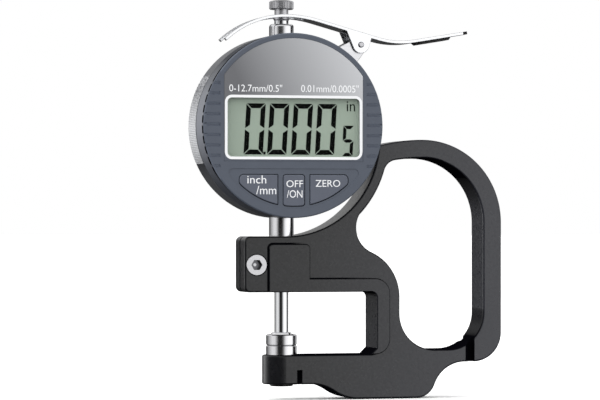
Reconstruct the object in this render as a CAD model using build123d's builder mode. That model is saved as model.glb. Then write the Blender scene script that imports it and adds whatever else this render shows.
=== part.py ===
from build123d import *

import os
from math import acos, cos, degrees, radians, sin

# A digital thickness gauge. Millimetres. The origin is where the spindle axis meets the measuring
# plane. X runs from the clamp block to the handle, Y from the display to the back, Z up the spindle.

# Measuring line
SPINDLE_R = 2.3
ANVIL_R = 5.0
ANVIL_SEAT_Z = -3.1
CONTACT_TOP_Z = 4.1
STEM_R = 4.0
STEM_END_Z = 19.0
GUIDE_TOP_Z = 104.1
KNOB_Z = 108.9
KNOB_R = 4.0
STUD_R = 1.25
RUNNING_FIT = 0.05
SEAT_FIT = 0.02

# Frame plate
FRAME_T = 12.6
RAISED = 0.7
EDGE_R = 0.6
BLOCK_LEFT = -13.85
BLOCK_Z = (17.25, 35.3)
THROAT_X = 30.4
NOSE_Z = (-12.6, ANVIL_SEAT_Z)
FOOT_Z = -17.5
HANDLE_X = 73.15
HANDLE_R = 26.95
CROWN = (HANDLE_X - HANDLE_R, 66.8)
SADDLE_R = 31.1
SADDLE_Z = BLOCK_Z[1] + SADDLE_R
WEB_W = 3.4
CLAMP_SCREW = (-9.8, 26.1)
CLAMP_HEAD_R = 3.5
CLAMP_SEAT_Y = -3.2

# Loop under the handle
LOOP_X = (38.3, 66.85)
LOOP_FLOOR_Z = -1.8
LOOP_CORNER_R = 11.9
LOOP_TOP_R = 20.9
LOOP_TOP_Z = 39.9

# Dial, which turns about a line along Y through its centre
DIAL_Z = 70.8
DIAL_R = 29.6
COVER_Y = (-16.0, -15.1)
WALL_BACK_Y = -14.4
HEAD_Y = (-14.2, -5.3)
HEAD_FLOOR_Y = -6.9
HEAD_CAVITY_R = 27.6
CASE_Y = (-5.0, 6.2)
CASE_FLOOR_Y = -3.8
CASE_CAVITY_R = 26.8
LID_Y = 4.6
LID_R = 27.6
HUB_R = 6.0
HUB_FRONT_Y = -8.2
CLIP_Y = (-7.9, -7.25)

# Display and buttons
WINDOW = (45.0, 20.5)
WINDOW_Z = 70.1
WINDOW_R = 2.4
LEDGE_W = 0.3
BOARD_Y = (-10.6, -9.6)
BUTTON_TOP_Z = 55.0
BUTTON_ARC_R = 25.8
BUTTON_SPANS = {"unit_button": (-17.9, -5.4), "power_button": (-3.45, 3.45), "zero_button": (5.4, 17.9)}
POST_ANGLES = (35, 145, 215, 325)
POST_RING_R = 24.6
POST_R = 1.6

# Lifting lever, pivoted on a bracket at the upper right of the case
PIVOT = (25.64, 97.63)
PIVOT_PIN_R = 0.75
SHEET_T = 0.95
LEVER_W = 9.0
SLOT_W = 5.9
EAR_T = 0.8
BRACKET_ANGLE = 49.0
BRACKET_FLAT = 29.2


def facing_front(y):
    """The upright plane at depth y, seen from the display side."""
    return Plane.XZ.offset(-y)


def level(z):
    """The level plane at height z, seen from above."""
    return Plane.XY.offset(z)


def disc(radius, front, back, centre=(0, DIAL_Z), mode=Mode.ADD):
    """A round plate or pocket about a line along Y."""
    with BuildSketch(facing_front(back)) as round_face:
        with Locations(centre):
            Circle(radius)
    extrude(round_face.sketch, amount=back - front, mode=mode)


def bored(radius, low, high, centre=(0, 0)):
    """An upright round hole between two heights."""
    with BuildSketch(level(low)) as bore:
        with Locations(centre):
            Circle(radius)
    extrude(bore.sketch, amount=high - low, mode=Mode.SUBTRACT)


def turned(*profile):
    """Turns a half profile, given as radius and height pairs, about the spindle axis."""
    with BuildSketch(Plane.XZ) as half:
        with BuildLine():
            Polyline(*profile, close=True)
        make_face()
    revolve(half.sketch, axis=Axis.Z)


def on_dial(radius, angle):
    """X and Z of the point of the dial at a radius and an angle from +X."""
    return (radius * cos(radians(angle)), DIAL_Z + radius * sin(radians(angle)))


def on_saddle(radius, angle):
    """X and Z of a point about the centre of the frame's saddle."""
    return (radius * cos(radians(angle)), SADDLE_Z + radius * sin(radians(angle)))


def save(builder, name):
    builder.part.label = name
    export_step(builder.part, f"parts/{name}.step")


os.makedirs("parts", exist_ok=True)


# Frame: one plate with a throat for the work, a saddle round the dial and a hand loop

HORN_ANGLE = -3.0
HORN_R = 1.2
BLOCK_CORNER_R = 1.8
THROAT_CORNER_R = 2.0
HEEL_R = 9.5
HEEL_Z = -5.85
BELLY_RADII = (11.0, 6.5)
BELLY_X = 60.6
CHIN_R = 14.0
CHIN_X = 8.3
LOOP_BULGE_Z = 15.5
LOOP_NECK = (28.8, 30.1)
LOOP_NECK_LEFT = (23.6, 38.3)
WEB_ANGLES = (-44.5, -11.4)
WEB_CORNER_R = 4.5
PAD_X = (-5.9, 7.9)
PAD_TOP_Z = 32.8
PAD_CORNER_R = 1.4
RIM_W = 4.4
RIM_CORNER_R = 5.0
BOSS_R = 3.8
BOSS_H = 0.7
NOTCH_X = 4.5
NOTCH_W = 1.8
NOTCH_TOP_Z = -7.9
SLIT_W = 1.0
LAND_Z = (7.5, 38.5)
LAND_W = 8.4
LAND_H = 0.45


def s_bend_turn(drop, radii_sum):
    """The angle each arc of an S-bend turns through to shift a level line by a drop."""
    return degrees(acos(1 - drop / radii_sum))


def round_corner(sketch, corner, radius):
    fillet(sketch.vertices().sort_by_distance(corner)[0], radius)


belly_turn = s_bend_turn(HEEL_Z - FOOT_Z, sum(BELLY_RADII))
chin_turn = s_bend_turn(NOSE_Z[0] - FOOT_Z, 2 * CHIN_R)
chin_end_x = CHIN_X + 2 * CHIN_R * sin(radians(chin_turn))
rim_x = THROAT_X + RIM_W
rim_z = BLOCK_Z[0] + RIM_W
half_t = FRAME_T / 2

with BuildPart() as frame:
    with BuildSketch(Plane.XZ) as plate:
        with BuildLine():
            left = Line((BLOCK_LEFT, BLOCK_Z[0]), (BLOCK_LEFT, BLOCK_Z[1]))
            top = Line(left @ 1, (0, BLOCK_Z[1]))
            horn = on_saddle(SADDLE_R, HORN_ANGLE)
            ThreePointArc(top @ 1, on_saddle(SADDLE_R, (HORN_ANGLE - 90) / 2), horn)
            TangentArc(CROWN, horn, tangent=(-1, 0))
            handle = JernArc(start=CROWN, tangent=(1, 0), radius=HANDLE_R, arc_size=-90)
            outside = Line(handle @ 1, (HANDLE_X, HEEL_Z + HEEL_R))
            heel = JernArc(start=outside @ 1, tangent=(0, -1), radius=HEEL_R, arc_size=-90)
            under = Line(heel @ 1, (BELLY_X, HEEL_Z))
            belly = JernArc(start=under @ 1, tangent=(-1, 0), radius=BELLY_RADII[0], arc_size=belly_turn)
            step = JernArc(start=belly @ 1, tangent=belly % 1, radius=BELLY_RADII[1], arc_size=-belly_turn)
            foot = Line(step @ 1, (chin_end_x, FOOT_Z))
            chin = JernArc(start=foot @ 1, tangent=(-1, 0), radius=CHIN_R, arc_size=-chin_turn)
            jaw = JernArc(start=chin @ 1, tangent=chin % 1, radius=CHIN_R, arc_size=chin_turn)
            Polyline(
                jaw @ 1,
                (0, NOSE_Z[0]),
                (0, NOSE_Z[1]),
                (THROAT_X, NOSE_Z[1]),
                (THROAT_X, BLOCK_Z[0]),
                left @ 0,
            )
        make_face()
        round_corner(plate, (THROAT_X, NOSE_Z[1]), THROAT_CORNER_R)
        round_corner(plate, (THROAT_X, BLOCK_Z[0]), THROAT_CORNER_R)
        round_corner(plate, (BLOCK_LEFT, BLOCK_Z[0]), BLOCK_CORNER_R)
        round_corner(plate, (BLOCK_LEFT, BLOCK_Z[1]), BLOCK_CORNER_R)
        round_corner(plate, horn, HORN_R)
    extrude(amount=half_t, both=True)

    with BuildSketch(Plane.XZ) as loop:
        with BuildLine():
            wall = Line((LOOP_X[1], LOOP_FLOOR_Z + LOOP_CORNER_R), (LOOP_X[1], LOOP_TOP_Z))
            arch = JernArc(start=wall @ 1, tangent=(0, 1), radius=LOOP_TOP_R, arc_size=90)
            web_low, web_high = (on_saddle(SADDLE_R + WEB_W, angle) for angle in WEB_ANGLES)
            TangentArc(arch @ 1, web_high, tangent=(-1, 0))
            ThreePointArc(web_high, on_saddle(SADDLE_R + WEB_W, sum(WEB_ANGLES) / 2), web_low)
            ThreePointArc(web_low, LOOP_NECK_LEFT, LOOP_NECK)
            TangentArc((LOOP_X[0], LOOP_BULGE_Z), LOOP_NECK, tangent=(0, 1))
            inner = Line((LOOP_X[0], LOOP_BULGE_Z), (LOOP_X[0], LOOP_FLOOR_Z + LOOP_CORNER_R))
            near = JernArc(start=inner @ 1, tangent=(0, -1), radius=LOOP_CORNER_R, arc_size=90)
            floor = Line(near @ 1, (LOOP_X[1] - LOOP_CORNER_R, LOOP_FLOOR_Z))
            JernArc(start=floor @ 1, tangent=(1, 0), radius=LOOP_CORNER_R, arc_size=90)
        make_face()
        round_corner(loop, web_high, WEB_CORNER_R)
    extrude(amount=FRAME_T, both=True, mode=Mode.SUBTRACT)
    broad_faces = frame.faces().filter_by(Axis.Y).sort_by(SortBy.AREA)[-2:]
    nose_edges = frame.edges().filter_by(Axis.Z).filter_by_position(Axis.X, -0.1, 0.1)
    fillet([edge for face in broad_faces for edge in face.edges() if edge not in nose_edges], EDGE_R)

    # The nose closes the lower arm with a half round as wide as the plate
    with BuildSketch(Plane.YZ):
        with BuildLine():
            Polyline((half_t - EDGE_R, NOSE_Z[1]), (0, NOSE_Z[1]), (0, NOSE_Z[0]), (half_t - EDGE_R, NOSE_Z[0]))
            JernArc(start=(half_t - EDGE_R, NOSE_Z[0]), tangent=(1, 0), radius=EDGE_R, arc_size=90)
            Line((half_t, NOSE_Z[0] + EDGE_R), (half_t, NOSE_Z[1] - EDGE_R))
            JernArc(start=(half_t, NOSE_Z[1] - EDGE_R), tangent=(0, 1), radius=EDGE_R, arc_size=90)
        make_face()
    revolve(axis=Axis.Z, revolution_arc=180)
    boss_z = NOSE_Z[0] - BOSS_H
    with BuildSketch(level(boss_z)):
        Circle(BOSS_R)
    extrude(amount=2 * BOSS_H)
    boss_rim = frame.edges().filter_by(GeomType.CIRCLE).filter_by_position(Axis.Z, boss_z - 0.01, boss_z + 0.01)
    fillet(boss_rim, 0.5)

    # Raised pad on the clamp block and raised rim round the throat, on both sides
    with BuildSketch(Plane.XZ) as rim:
        with BuildLine():
            Polyline(
                (PAD_X[0], BLOCK_Z[0]),
                (PAD_X[0], PAD_TOP_Z),
                (PAD_X[1], PAD_TOP_Z),
                (PAD_X[1], rim_z),
                (rim_x, rim_z),
                (rim_x, NOSE_Z[1]),
                (THROAT_X - THROAT_CORNER_R, NOSE_Z[1]),
                (THROAT_X, NOSE_Z[1] + THROAT_CORNER_R),
                (THROAT_X, BLOCK_Z[0]),
                close=True,
            )
        make_face()
        round_corner(rim, (THROAT_X, BLOCK_Z[0]), THROAT_CORNER_R)
        round_corner(rim, (PAD_X[0], PAD_TOP_Z), PAD_CORNER_R)
        round_corner(rim, (PAD_X[1], PAD_TOP_Z), PAD_CORNER_R)
        round_corner(rim, (rim_x, rim_z), RIM_CORNER_R)
        round_corner(rim, (rim_x, NOSE_Z[1]), RIM_CORNER_R)
    extrude(amount=half_t + RAISED, both=True)
    outer_faces = (frame.faces().sort_by(Axis.Y)[0], frame.faces().sort_by(Axis.Y)[-1])
    chamfer([edge for face in outer_faces for edge in face.edges()], 0.3)

    # Scoop between the web and the handle bar, rounded on its inner lip, on both sides
    with BuildSketch(level(HEEL_Z - 1)):
        with BuildLine():
            Polyline((62.2, -3.8), (63.9, -3.8), (63.9, -8.0), (60.6, -8.0), (60.6, -6.3))
            ThreePointArc((60.6, -6.3), (61.6, -5.6), (62.2, -3.8))
        make_face()
        mirror(about=Plane.XZ)
    extrude(amount=9.0, mode=Mode.SUBTRACT)

    # Low land down the outside of the handle
    with BuildSketch(Plane.YZ.offset(HANDLE_X - 1)):
        with Locations((0, sum(LAND_Z) / 2)):
            RectangleRounded(LAND_W, LAND_Z[1] - LAND_Z[0], LAND_W / 2 - 0.1)
    extrude(amount=1 + LAND_H)

    # Notch beside the nose, stem bore, clamp slit, screw hole and anvil bore
    with BuildSketch(Plane.XZ.offset(half_t - 1.4)):
        with Locations((NOTCH_X, (NOTCH_TOP_Z + NOSE_Z[0] - 1) / 2)):
            Rectangle(NOTCH_W, NOTCH_TOP_Z - NOSE_Z[0] + 1)
    extrude(amount=2.0, mode=Mode.SUBTRACT)
    bored(STEM_R + SEAT_FIT, BLOCK_Z[0] - 1, BLOCK_Z[1] + 1)
    with BuildSketch(level(BLOCK_Z[0] - 1)):
        with Locations((BLOCK_LEFT / 2 - STEM_R / 2, 0)):
            Rectangle(-BLOCK_LEFT - STEM_R + 1, SLIT_W)
    extrude(amount=BLOCK_Z[1] - BLOCK_Z[0] + 2, mode=Mode.SUBTRACT)
    disc(2.0 + SEAT_FIT, -half_t - 1, half_t - 1.2, centre=CLAMP_SCREW, mode=Mode.SUBTRACT)
    disc(CLAMP_HEAD_R + 0.1, -half_t - 1, CLAMP_SEAT_Y, centre=CLAMP_SCREW, mode=Mode.SUBTRACT)
    bored(2.0 + SEAT_FIT, ANVIL_SEAT_Z - 7.6, ANVIL_SEAT_Z + 1)

save(frame, "frame")


# Measuring line: anvils, spindle with its lifting knob, stem and guides

ANVIL_BEVEL = 0.3
with BuildPart() as lower_anvil:
    turned(
        (0, 0),
        (ANVIL_R - ANVIL_BEVEL, 0),
        (ANVIL_R, -ANVIL_BEVEL),
        (ANVIL_R, ANVIL_SEAT_Z),
        (2.0, ANVIL_SEAT_Z),
        (2.0, ANVIL_SEAT_Z - 7.4),
        (0, ANVIL_SEAT_Z - 7.4),
    )
save(lower_anvil, "lower_anvil")

CONTACT_H = 3.5
CONTACT_STUD_Z = 9.5
with BuildPart() as contact_anvil:
    turned(
        (0, 0),
        (ANVIL_R - ANVIL_BEVEL, 0),
        (ANVIL_R, ANVIL_BEVEL),
        (ANVIL_R, CONTACT_H - ANVIL_BEVEL),
        (ANVIL_R - ANVIL_BEVEL, CONTACT_H),
        (3.4, CONTACT_H),
        (3.2, CONTACT_TOP_Z),
        (STUD_R, CONTACT_TOP_Z),
        (STUD_R, CONTACT_STUD_Z),
        (0, CONTACT_STUD_Z),
    )
save(contact_anvil, "contact_anvil")

SPINDLE_TOP_Z = 105.2
KNOB_STUD_Z = 109.8
with BuildPart() as spindle:
    turned(
        (0, CONTACT_STUD_Z + 0.5),
        (STUD_R + SEAT_FIT, CONTACT_STUD_Z + 0.5),
        (STUD_R + SEAT_FIT, CONTACT_TOP_Z),
        (SPINDLE_R - 0.2, CONTACT_TOP_Z),
        (SPINDLE_R, CONTACT_TOP_Z + 0.2),
        (SPINDLE_R, SPINDLE_TOP_Z),
        (STUD_R, SPINDLE_TOP_Z),
        (STUD_R, KNOB_STUD_Z),
        (0, KNOB_STUD_Z),
    )
save(spindle, "spindle")

# The knob has a knurled head, a neck and a small flange that passes between the lever's tines
KNURL_COUNT = 44
KNURL_CUT = 0.3
KNOB_NECK_R = 2.25
FLANGE_R = 2.65
with BuildPart() as lift_knob:
    turned(
        (STUD_R + SEAT_FIT, SPINDLE_TOP_Z),
        (KNOB_NECK_R, SPINDLE_TOP_Z),
        (FLANGE_R, SPINDLE_TOP_Z + 0.5),
        (FLANGE_R, SPINDLE_TOP_Z + 1.1),
        (KNOB_NECK_R, SPINDLE_TOP_Z + 1.3),
        (KNOB_NECK_R, KNOB_Z),
        (KNOB_R - 0.3, KNOB_Z),
        (KNOB_R, KNOB_Z + 0.3),
        (KNOB_R, KNOB_Z + 2.4),
        (KNOB_R - 0.3, KNOB_Z + 2.7),
        (KNOB_R / 2, KNOB_Z + 3.1),
        (0, KNOB_Z + 3.2),
        (0, KNOB_STUD_Z + 0.1),
        (STUD_R + SEAT_FIT, KNOB_STUD_Z + 0.1),
    )
    with BuildSketch(level(KNOB_Z)):
        with PolarLocations(KNOB_R + 0.05, KNURL_COUNT):
            Rectangle(KNURL_CUT, KNURL_CUT, rotation=45)
    extrude(amount=KNOB_R, mode=Mode.SUBTRACT)
save(lift_knob, "lift_knob")

STEM_SHOULDER_Z = 42.2
STEM_NECK_R = 3.2
BUSH_R = 2.9
BUSH_Z = (STEM_END_Z + 0.2, 27.5)
LOWER_BOSS_Z = (42.0, 48.5)
with BuildPart() as stem:
    turned(
        (BUSH_R, STEM_END_Z),
        (STEM_R - 0.3, STEM_END_Z),
        (STEM_R, STEM_END_Z + 0.3),
        (STEM_R, STEM_SHOULDER_Z),
        (STEM_NECK_R, STEM_SHOULDER_Z),
        (STEM_NECK_R, LOWER_BOSS_Z[1]),
        (2.6, LOWER_BOSS_Z[1]),
        (2.6, BUSH_Z[1]),
        (BUSH_R, BUSH_Z[1]),
    )
save(stem, "stem")

with BuildPart() as lower_bush:
    turned(
        (SPINDLE_R + RUNNING_FIT, BUSH_Z[0]),
        (BUSH_R - SEAT_FIT, BUSH_Z[0]),
        (BUSH_R - SEAT_FIT, BUSH_Z[1]),
        (SPINDLE_R + RUNNING_FIT, BUSH_Z[1]),
    )
save(lower_bush, "lower_bush")

GUIDE_SHOULDER_Z = 99.2
UPPER_BOSS_Z = (91.0, 99.0)
with BuildPart() as upper_guide:
    turned(
        (SPINDLE_R + RUNNING_FIT, UPPER_BOSS_Z[0]),
        (STEM_NECK_R, UPPER_BOSS_Z[0]),
        (STEM_NECK_R, GUIDE_SHOULDER_Z),
        (STEM_R, GUIDE_SHOULDER_Z),
        (STEM_R, GUIDE_TOP_Z),
        (SPINDLE_R + RUNNING_FIT, GUIDE_TOP_Z),
    )
    fillet(upper_guide.faces().sort_by(Axis.Z)[-1].outer_wire().edges(), 0.8)
save(upper_guide, "upper_guide")

# Clamp screw that closes the slit block on the stem
with BuildPart() as clamp_screw:
    disc(CLAMP_HEAD_R, -half_t - 0.05, CLAMP_SEAT_Y, centre=CLAMP_SCREW)
    chamfer(clamp_screw.faces().sort_by(Axis.Y)[0].edges(), 0.25)
    with BuildSketch(facing_front(-4.2)):
        with Locations(CLAMP_SCREW):
            RegularPolygon(1.6, 6, major_radius=False)
    extrude(amount=3.0, mode=Mode.SUBTRACT)
    disc(2.0, CLAMP_SEAT_Y, 5.0, centre=CLAMP_SCREW)
save(clamp_screw, "clamp_screw")


# Rear case: a cup open to the back, with the hub that the display turns on

LID_SCREW_ANGLES = (30, 120, 210, 300)
LID_SCREW_RING_R = 24.4
BATTERY_AT = (13.2, 60.0)
BATTERY_R = 5.8
BATTERY_Y = (-1.6, 3.8)
WELL_FLOOR_Y = -3.6
PIN_AT = (-5.4, 0.6)
PIN_R = 1.0
PIN_Z = (45.0, 95.0)
SENSOR_X = (-17.0, -4.4)
SENSOR_Y = (-4.3, -3.5)
SENSOR_H = 28.0
RIBBON_BORE_R = 3.2
HUB_GROOVE_R = 5.3

bracket_side = (cos(radians(BRACKET_ANGLE)), 0, sin(radians(BRACKET_ANGLE)))
bracket_plane = Plane((0, 0, DIAL_Z), x_dir=bracket_side, z_dir=(0, -1, 0))
bracket_flat = Plane(bracket_plane.from_local_coords((BRACKET_FLAT, 0, 0)), x_dir=(0, 1, 0), z_dir=bracket_side)
lid_screws = [on_dial(LID_SCREW_RING_R, angle) for angle in LID_SCREW_ANGLES]

with BuildPart() as rear_case:
    disc(DIAL_R, *CASE_Y)
    chamfer(rear_case.faces().sort_by(Axis.Y)[-1].edges(), 0.5)
    disc(HUB_R, HUB_FRONT_Y, CASE_Y[0])
    disc(CASE_CAVITY_R, CASE_FLOOR_Y, LID_Y, mode=Mode.SUBTRACT)
    disc(LID_R, LID_Y, CASE_Y[1] + 1, mode=Mode.SUBTRACT)
    with BuildSketch(facing_front(LID_Y)):
        for boss_z in (LOWER_BOSS_Z, UPPER_BOSS_Z):
            with Locations((-0.6, sum(boss_z) / 2)):
                Rectangle(14.6, boss_z[1] - boss_z[0])
        with Locations(BATTERY_AT):
            Circle(BATTERY_R + 1.4)
        with Locations(*lid_screws):
            Circle(2.3)
        with Locations((0, DIAL_Z)):
            Circle(CASE_CAVITY_R + 0.5, mode=Mode.INTERSECT)
    extrude(amount=LID_Y - CASE_FLOOR_Y)
    disc(BATTERY_R + 0.1, WELL_FLOOR_Y, LID_Y, centre=BATTERY_AT, mode=Mode.SUBTRACT)
    for screw in lid_screws:
        disc(0.8, LID_Y - 5.0, LID_Y, centre=screw, mode=Mode.SUBTRACT)
    with BuildSketch(facing_front(CASE_FLOOR_Y)):
        with Locations((sum(SENSOR_X) / 2, DIAL_Z)):
            Rectangle(SENSOR_X[1] - SENSOR_X[0] + 0.2, SENSOR_H + 0.2)
    extrude(amount=CASE_FLOOR_Y - SENSOR_Y[0], mode=Mode.SUBTRACT)
    disc(RIBBON_BORE_R, HUB_FRONT_Y, CASE_FLOOR_Y, mode=Mode.SUBTRACT)

    # Groove for the ring that keeps the display on the hub
    with BuildSketch(facing_front(CLIP_Y[1])):
        with Locations((0, DIAL_Z)):
            Circle(HUB_R + 1)
            Circle(HUB_GROOVE_R, mode=Mode.SUBTRACT)
    extrude(amount=CLIP_Y[1] - CLIP_Y[0], mode=Mode.SUBTRACT)

    # Bores for the stem, the spindle guide and the guide pin
    bored(STEM_R + SEAT_FIT, DIAL_Z - DIAL_R - 1, STEM_SHOULDER_Z)
    bored(STEM_NECK_R + SEAT_FIT, STEM_SHOULDER_Z, LOWER_BOSS_Z[1] + 1)
    bored(STEM_NECK_R + SEAT_FIT, UPPER_BOSS_Z[0] - 1, GUIDE_SHOULDER_Z)
    bored(STEM_R + SEAT_FIT, GUIDE_SHOULDER_Z, DIAL_Z + DIAL_R + 1)
    bored(PIN_R + SEAT_FIT, *PIN_Z, centre=PIN_AT)

    # Flat for the lever bracket, with its screw hole
    with BuildSketch(bracket_flat):
        Rectangle(7.2, 10.0)
    extrude(amount=2.0, mode=Mode.SUBTRACT)
    with Locations(bracket_flat):
        Hole(1.0 + SEAT_FIT, depth=2.3)
save(rear_case, "rear_case")


# Inside the rear case

with BuildPart() as guide_pin:
    with BuildSketch(level(PIN_Z[0])):
        with Locations(PIN_AT):
            Circle(PIN_R)
    extrude(amount=PIN_Z[1] - PIN_Z[0])
save(guide_pin, "guide_pin")

CARRIAGE_X = (-14.0, 4.5)
CARRIAGE_Y = (-2.7, 3.2)
CARRIAGE_Z = (49.5, 57.5)
with BuildPart() as carriage:
    with BuildSketch(level(CARRIAGE_Z[0])):
        with Locations((sum(CARRIAGE_X) / 2, sum(CARRIAGE_Y) / 2)):
            RectangleRounded(CARRIAGE_X[1] - CARRIAGE_X[0], CARRIAGE_Y[1] - CARRIAGE_Y[0], 1.0)
        Circle(SPINDLE_R + SEAT_FIT, mode=Mode.SUBTRACT)
        with Locations(PIN_AT):
            Circle(PIN_R + RUNNING_FIT, mode=Mode.SUBTRACT)
    extrude(amount=CARRIAGE_Z[1] - CARRIAGE_Z[0])
save(carriage, "carriage")

SCALE_Y = (CARRIAGE_Y[0] - 0.4, CARRIAGE_Y[0])
SCALE_X = (-13.0, -6.5)
SCALE_Z = (50.0, 74.0)
with BuildPart() as scale_plate:
    with BuildSketch(facing_front(SCALE_Y[1])):
        with Locations((sum(SCALE_X) / 2, sum(SCALE_Z) / 2)):
            Rectangle(SCALE_X[1] - SCALE_X[0], SCALE_Z[1] - SCALE_Z[0])
    extrude(amount=SCALE_Y[1] - SCALE_Y[0])
save(scale_plate, "scale_plate")

with BuildPart() as sensor_board:
    with BuildSketch(facing_front(SENSOR_Y[1])):
        with Locations((sum(SENSOR_X) / 2, DIAL_Z)):
            Rectangle(SENSOR_X[1] - SENSOR_X[0], SENSOR_H)
    extrude(amount=SENSOR_Y[1] - SENSOR_Y[0])
save(sensor_board, "sensor_board")

# Flat ribbon from the sensor board through the hub towards the display board
RIBBON_T = 0.2
RIBBON_W = 4.0
with BuildPart() as ribbon_cable:
    with BuildSketch(level(DIAL_Z - RIBBON_W / 2)):
        with BuildLine():
            run = Line((SENSOR_X[1] - 1, SENSOR_Y[1]), (-1.6, SENSOR_Y[1]))
            bend = JernArc(start=run @ 1, tangent=(1, 0), radius=1.4, arc_size=-90)
            Line(bend @ 1, (-0.2, BOARD_Y[1] + 0.4))
            offset(amount=RIBBON_T, side=Side.LEFT)
        make_face()
    extrude(amount=RIBBON_W)
save(ribbon_cable, "ribbon_cable")

SPRING_Z = (CARRIAGE_Z[1], UPPER_BOSS_Z[0])
SPRING_R = 3.1
SPRING_WIRE_R = 0.25
SPRING_TURNS = 9
with BuildPart() as return_spring:
    coil_h = SPRING_Z[1] - SPRING_Z[0] - 2 * SPRING_WIRE_R
    with BuildLine():
        coil = Helix(coil_h / SPRING_TURNS, coil_h, SPRING_R, center=(0, 0, SPRING_Z[0] + SPRING_WIRE_R))
    with BuildSketch(Plane(coil @ 0, z_dir=coil % 0)):
        RegularPolygon(SPRING_WIRE_R, 6)
    sweep(path=coil, is_frenet=True)
save(return_spring, "return_spring")

with BuildPart() as battery:
    disc(BATTERY_R, BATTERY_Y[0], BATTERY_Y[1] - 0.8, centre=BATTERY_AT)
    chamfer(battery.faces().sort_by(Axis.Y)[0].edges(), 0.3)
    disc(BATTERY_R - 1.0, BATTERY_Y[1] - 0.8, BATTERY_Y[1], centre=BATTERY_AT)
save(battery, "battery")

CONTACT_T = 0.3
with BuildPart() as battery_contact:
    with BuildSketch(level(BATTERY_AT[1] - 2)):
        with BuildLine():
            lying = Line((BATTERY_AT[0] - 4.5, WELL_FLOOR_Y), (BATTERY_AT[0] + 1, WELL_FLOOR_Y))
            Line(lying @ 1, (BATTERY_AT[0] + 4, BATTERY_Y[0] - CONTACT_T - 0.1))
            offset(amount=CONTACT_T, side=Side.LEFT)
        make_face()
    extrude(amount=4.0)
save(battery_contact, "battery_contact")

CAP_R = 7.3
CAP_SEAT_Y = 5.3
CAP_Y = (BATTERY_Y[1] + 0.05, 6.4)
COIN_SLOT = (10.0, 1.8)
with BuildPart() as back_cover:
    disc(LID_R - RUNNING_FIT, LID_Y, CASE_Y[1])
    chamfer(back_cover.faces().sort_by(Axis.Y)[-1].edges(), 0.3)
    disc(BATTERY_R + 0.15, LID_Y, CASE_Y[1], centre=BATTERY_AT, mode=Mode.SUBTRACT)
    disc(CAP_R + 0.1, CAP_SEAT_Y, CASE_Y[1], centre=BATTERY_AT, mode=Mode.SUBTRACT)
    for x, z in lid_screws:
        with Locations(Plane((x, CASE_Y[1], z), z_dir=(0, 1, 0))):
            CounterSinkHole(0.9, 1.75, depth=CASE_Y[1] - LID_Y, counter_sink_angle=90)
save(back_cover, "back_cover")

with BuildPart() as battery_cap:
    disc(CAP_R, CAP_SEAT_Y, CAP_Y[1], centre=BATTERY_AT)
    chamfer(battery_cap.faces().sort_by(Axis.Y)[-1].edges(), 0.25)
    disc(BATTERY_R, CAP_Y[0], CAP_SEAT_Y, centre=BATTERY_AT)
    with BuildSketch(facing_front(CAP_Y[1])):
        with Locations(BATTERY_AT):
            SlotOverall(*COIN_SLOT)
    extrude(amount=0.9, mode=Mode.SUBTRACT)
save(battery_cap, "battery_cap")


def countersunk_screws(points, head_y, head_r, shank_r, length):
    """Screws along Y with cross-recessed heads that face the back."""
    sink = head_r - shank_r
    with Locations(*[Plane((x, head_y, z), z_dir=(0, 1, 0)) for x, z in points]):
        Cone(shank_r, head_r, sink, align=(Align.CENTER, Align.CENTER, Align.MAX))
        Cylinder(shank_r, length, align=(Align.CENTER, Align.CENTER, Align.MAX))
        Box(head_r * 1.1, head_r * 0.25, 0.8, mode=Mode.SUBTRACT)
        Box(head_r * 0.25, head_r * 1.1, 0.8, mode=Mode.SUBTRACT)


with BuildPart() as back_cover_screws:
    countersunk_screws(lid_screws, CASE_Y[1], 1.65, 0.78, 5.5)
save(back_cover_screws, "back_cover_screws")

with BuildPart() as hub_clip:
    disc(7.6, *CLIP_Y)
    disc(HUB_GROOVE_R + SEAT_FIT, *CLIP_Y, mode=Mode.SUBTRACT)
    with Locations((0, sum(CLIP_Y) / 2, DIAL_Z - 7)):
        Box(3.0, 2.0, 6.0, mode=Mode.SUBTRACT)
save(hub_clip, "hub_clip")


# Display head: the case that turns on the hub, closed by the front cover

PLUG_R = 27.4
SKIRT_R = 26.7
SKIRT_Y = -12.5
STANDOFF_RING_R = 19.0
GRIP_COUNT = 9
GRIP_PITCH = 3.3
GRIP_Z = 71.0
GRIP_X = 24.2
GRIP_CUT_R = 0.6
GRIP_DEPTH = 0.3
LENS_Y = (-15.8, -14.8)
LABEL_Y = (-15.95, -15.75)
LABEL_ARC_R = 27.9
LABEL_HALF_W = 22.9
LABEL_LOW_Z = 59.4
KEYPAD_TOP_Z = 57.0
KEYPAD_HALF_W = 21.5

grip_rows = [GRIP_Z + (row - (GRIP_COUNT - 1) / 2) * GRIP_PITCH for row in range(GRIP_COUNT)]
post_points = [on_dial(POST_RING_R, angle) for angle in POST_ANGLES]
standoff_points = [on_dial(STANDOFF_RING_R, angle) for angle in (0, 90, 180, 270)]

with BuildPart() as middle_case:
    disc(DIAL_R, *HEAD_Y)
    disc(HEAD_CAVITY_R, HEAD_Y[0], HEAD_FLOOR_Y, mode=Mode.SUBTRACT)
    for standoff in standoff_points:
        disc(1.6, BOARD_Y[1], HEAD_FLOOR_Y, centre=standoff)
    disc(HUB_R + RUNNING_FIT, HEAD_FLOOR_Y, HEAD_Y[1], mode=Mode.SUBTRACT)
    for x, z in post_points:
        with Locations(Plane((x, HEAD_Y[1], z), z_dir=(0, 1, 0))):
            CounterSinkHole(0.8, 1.5, depth=HEAD_Y[1] - HEAD_FLOOR_Y, counter_sink_angle=90)
save(middle_case, "middle_case")

with BuildPart() as cover_screws:
    countersunk_screws(post_points, HEAD_Y[1], 1.4, 0.68, 5.0)
save(cover_screws, "cover_screws")


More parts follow.
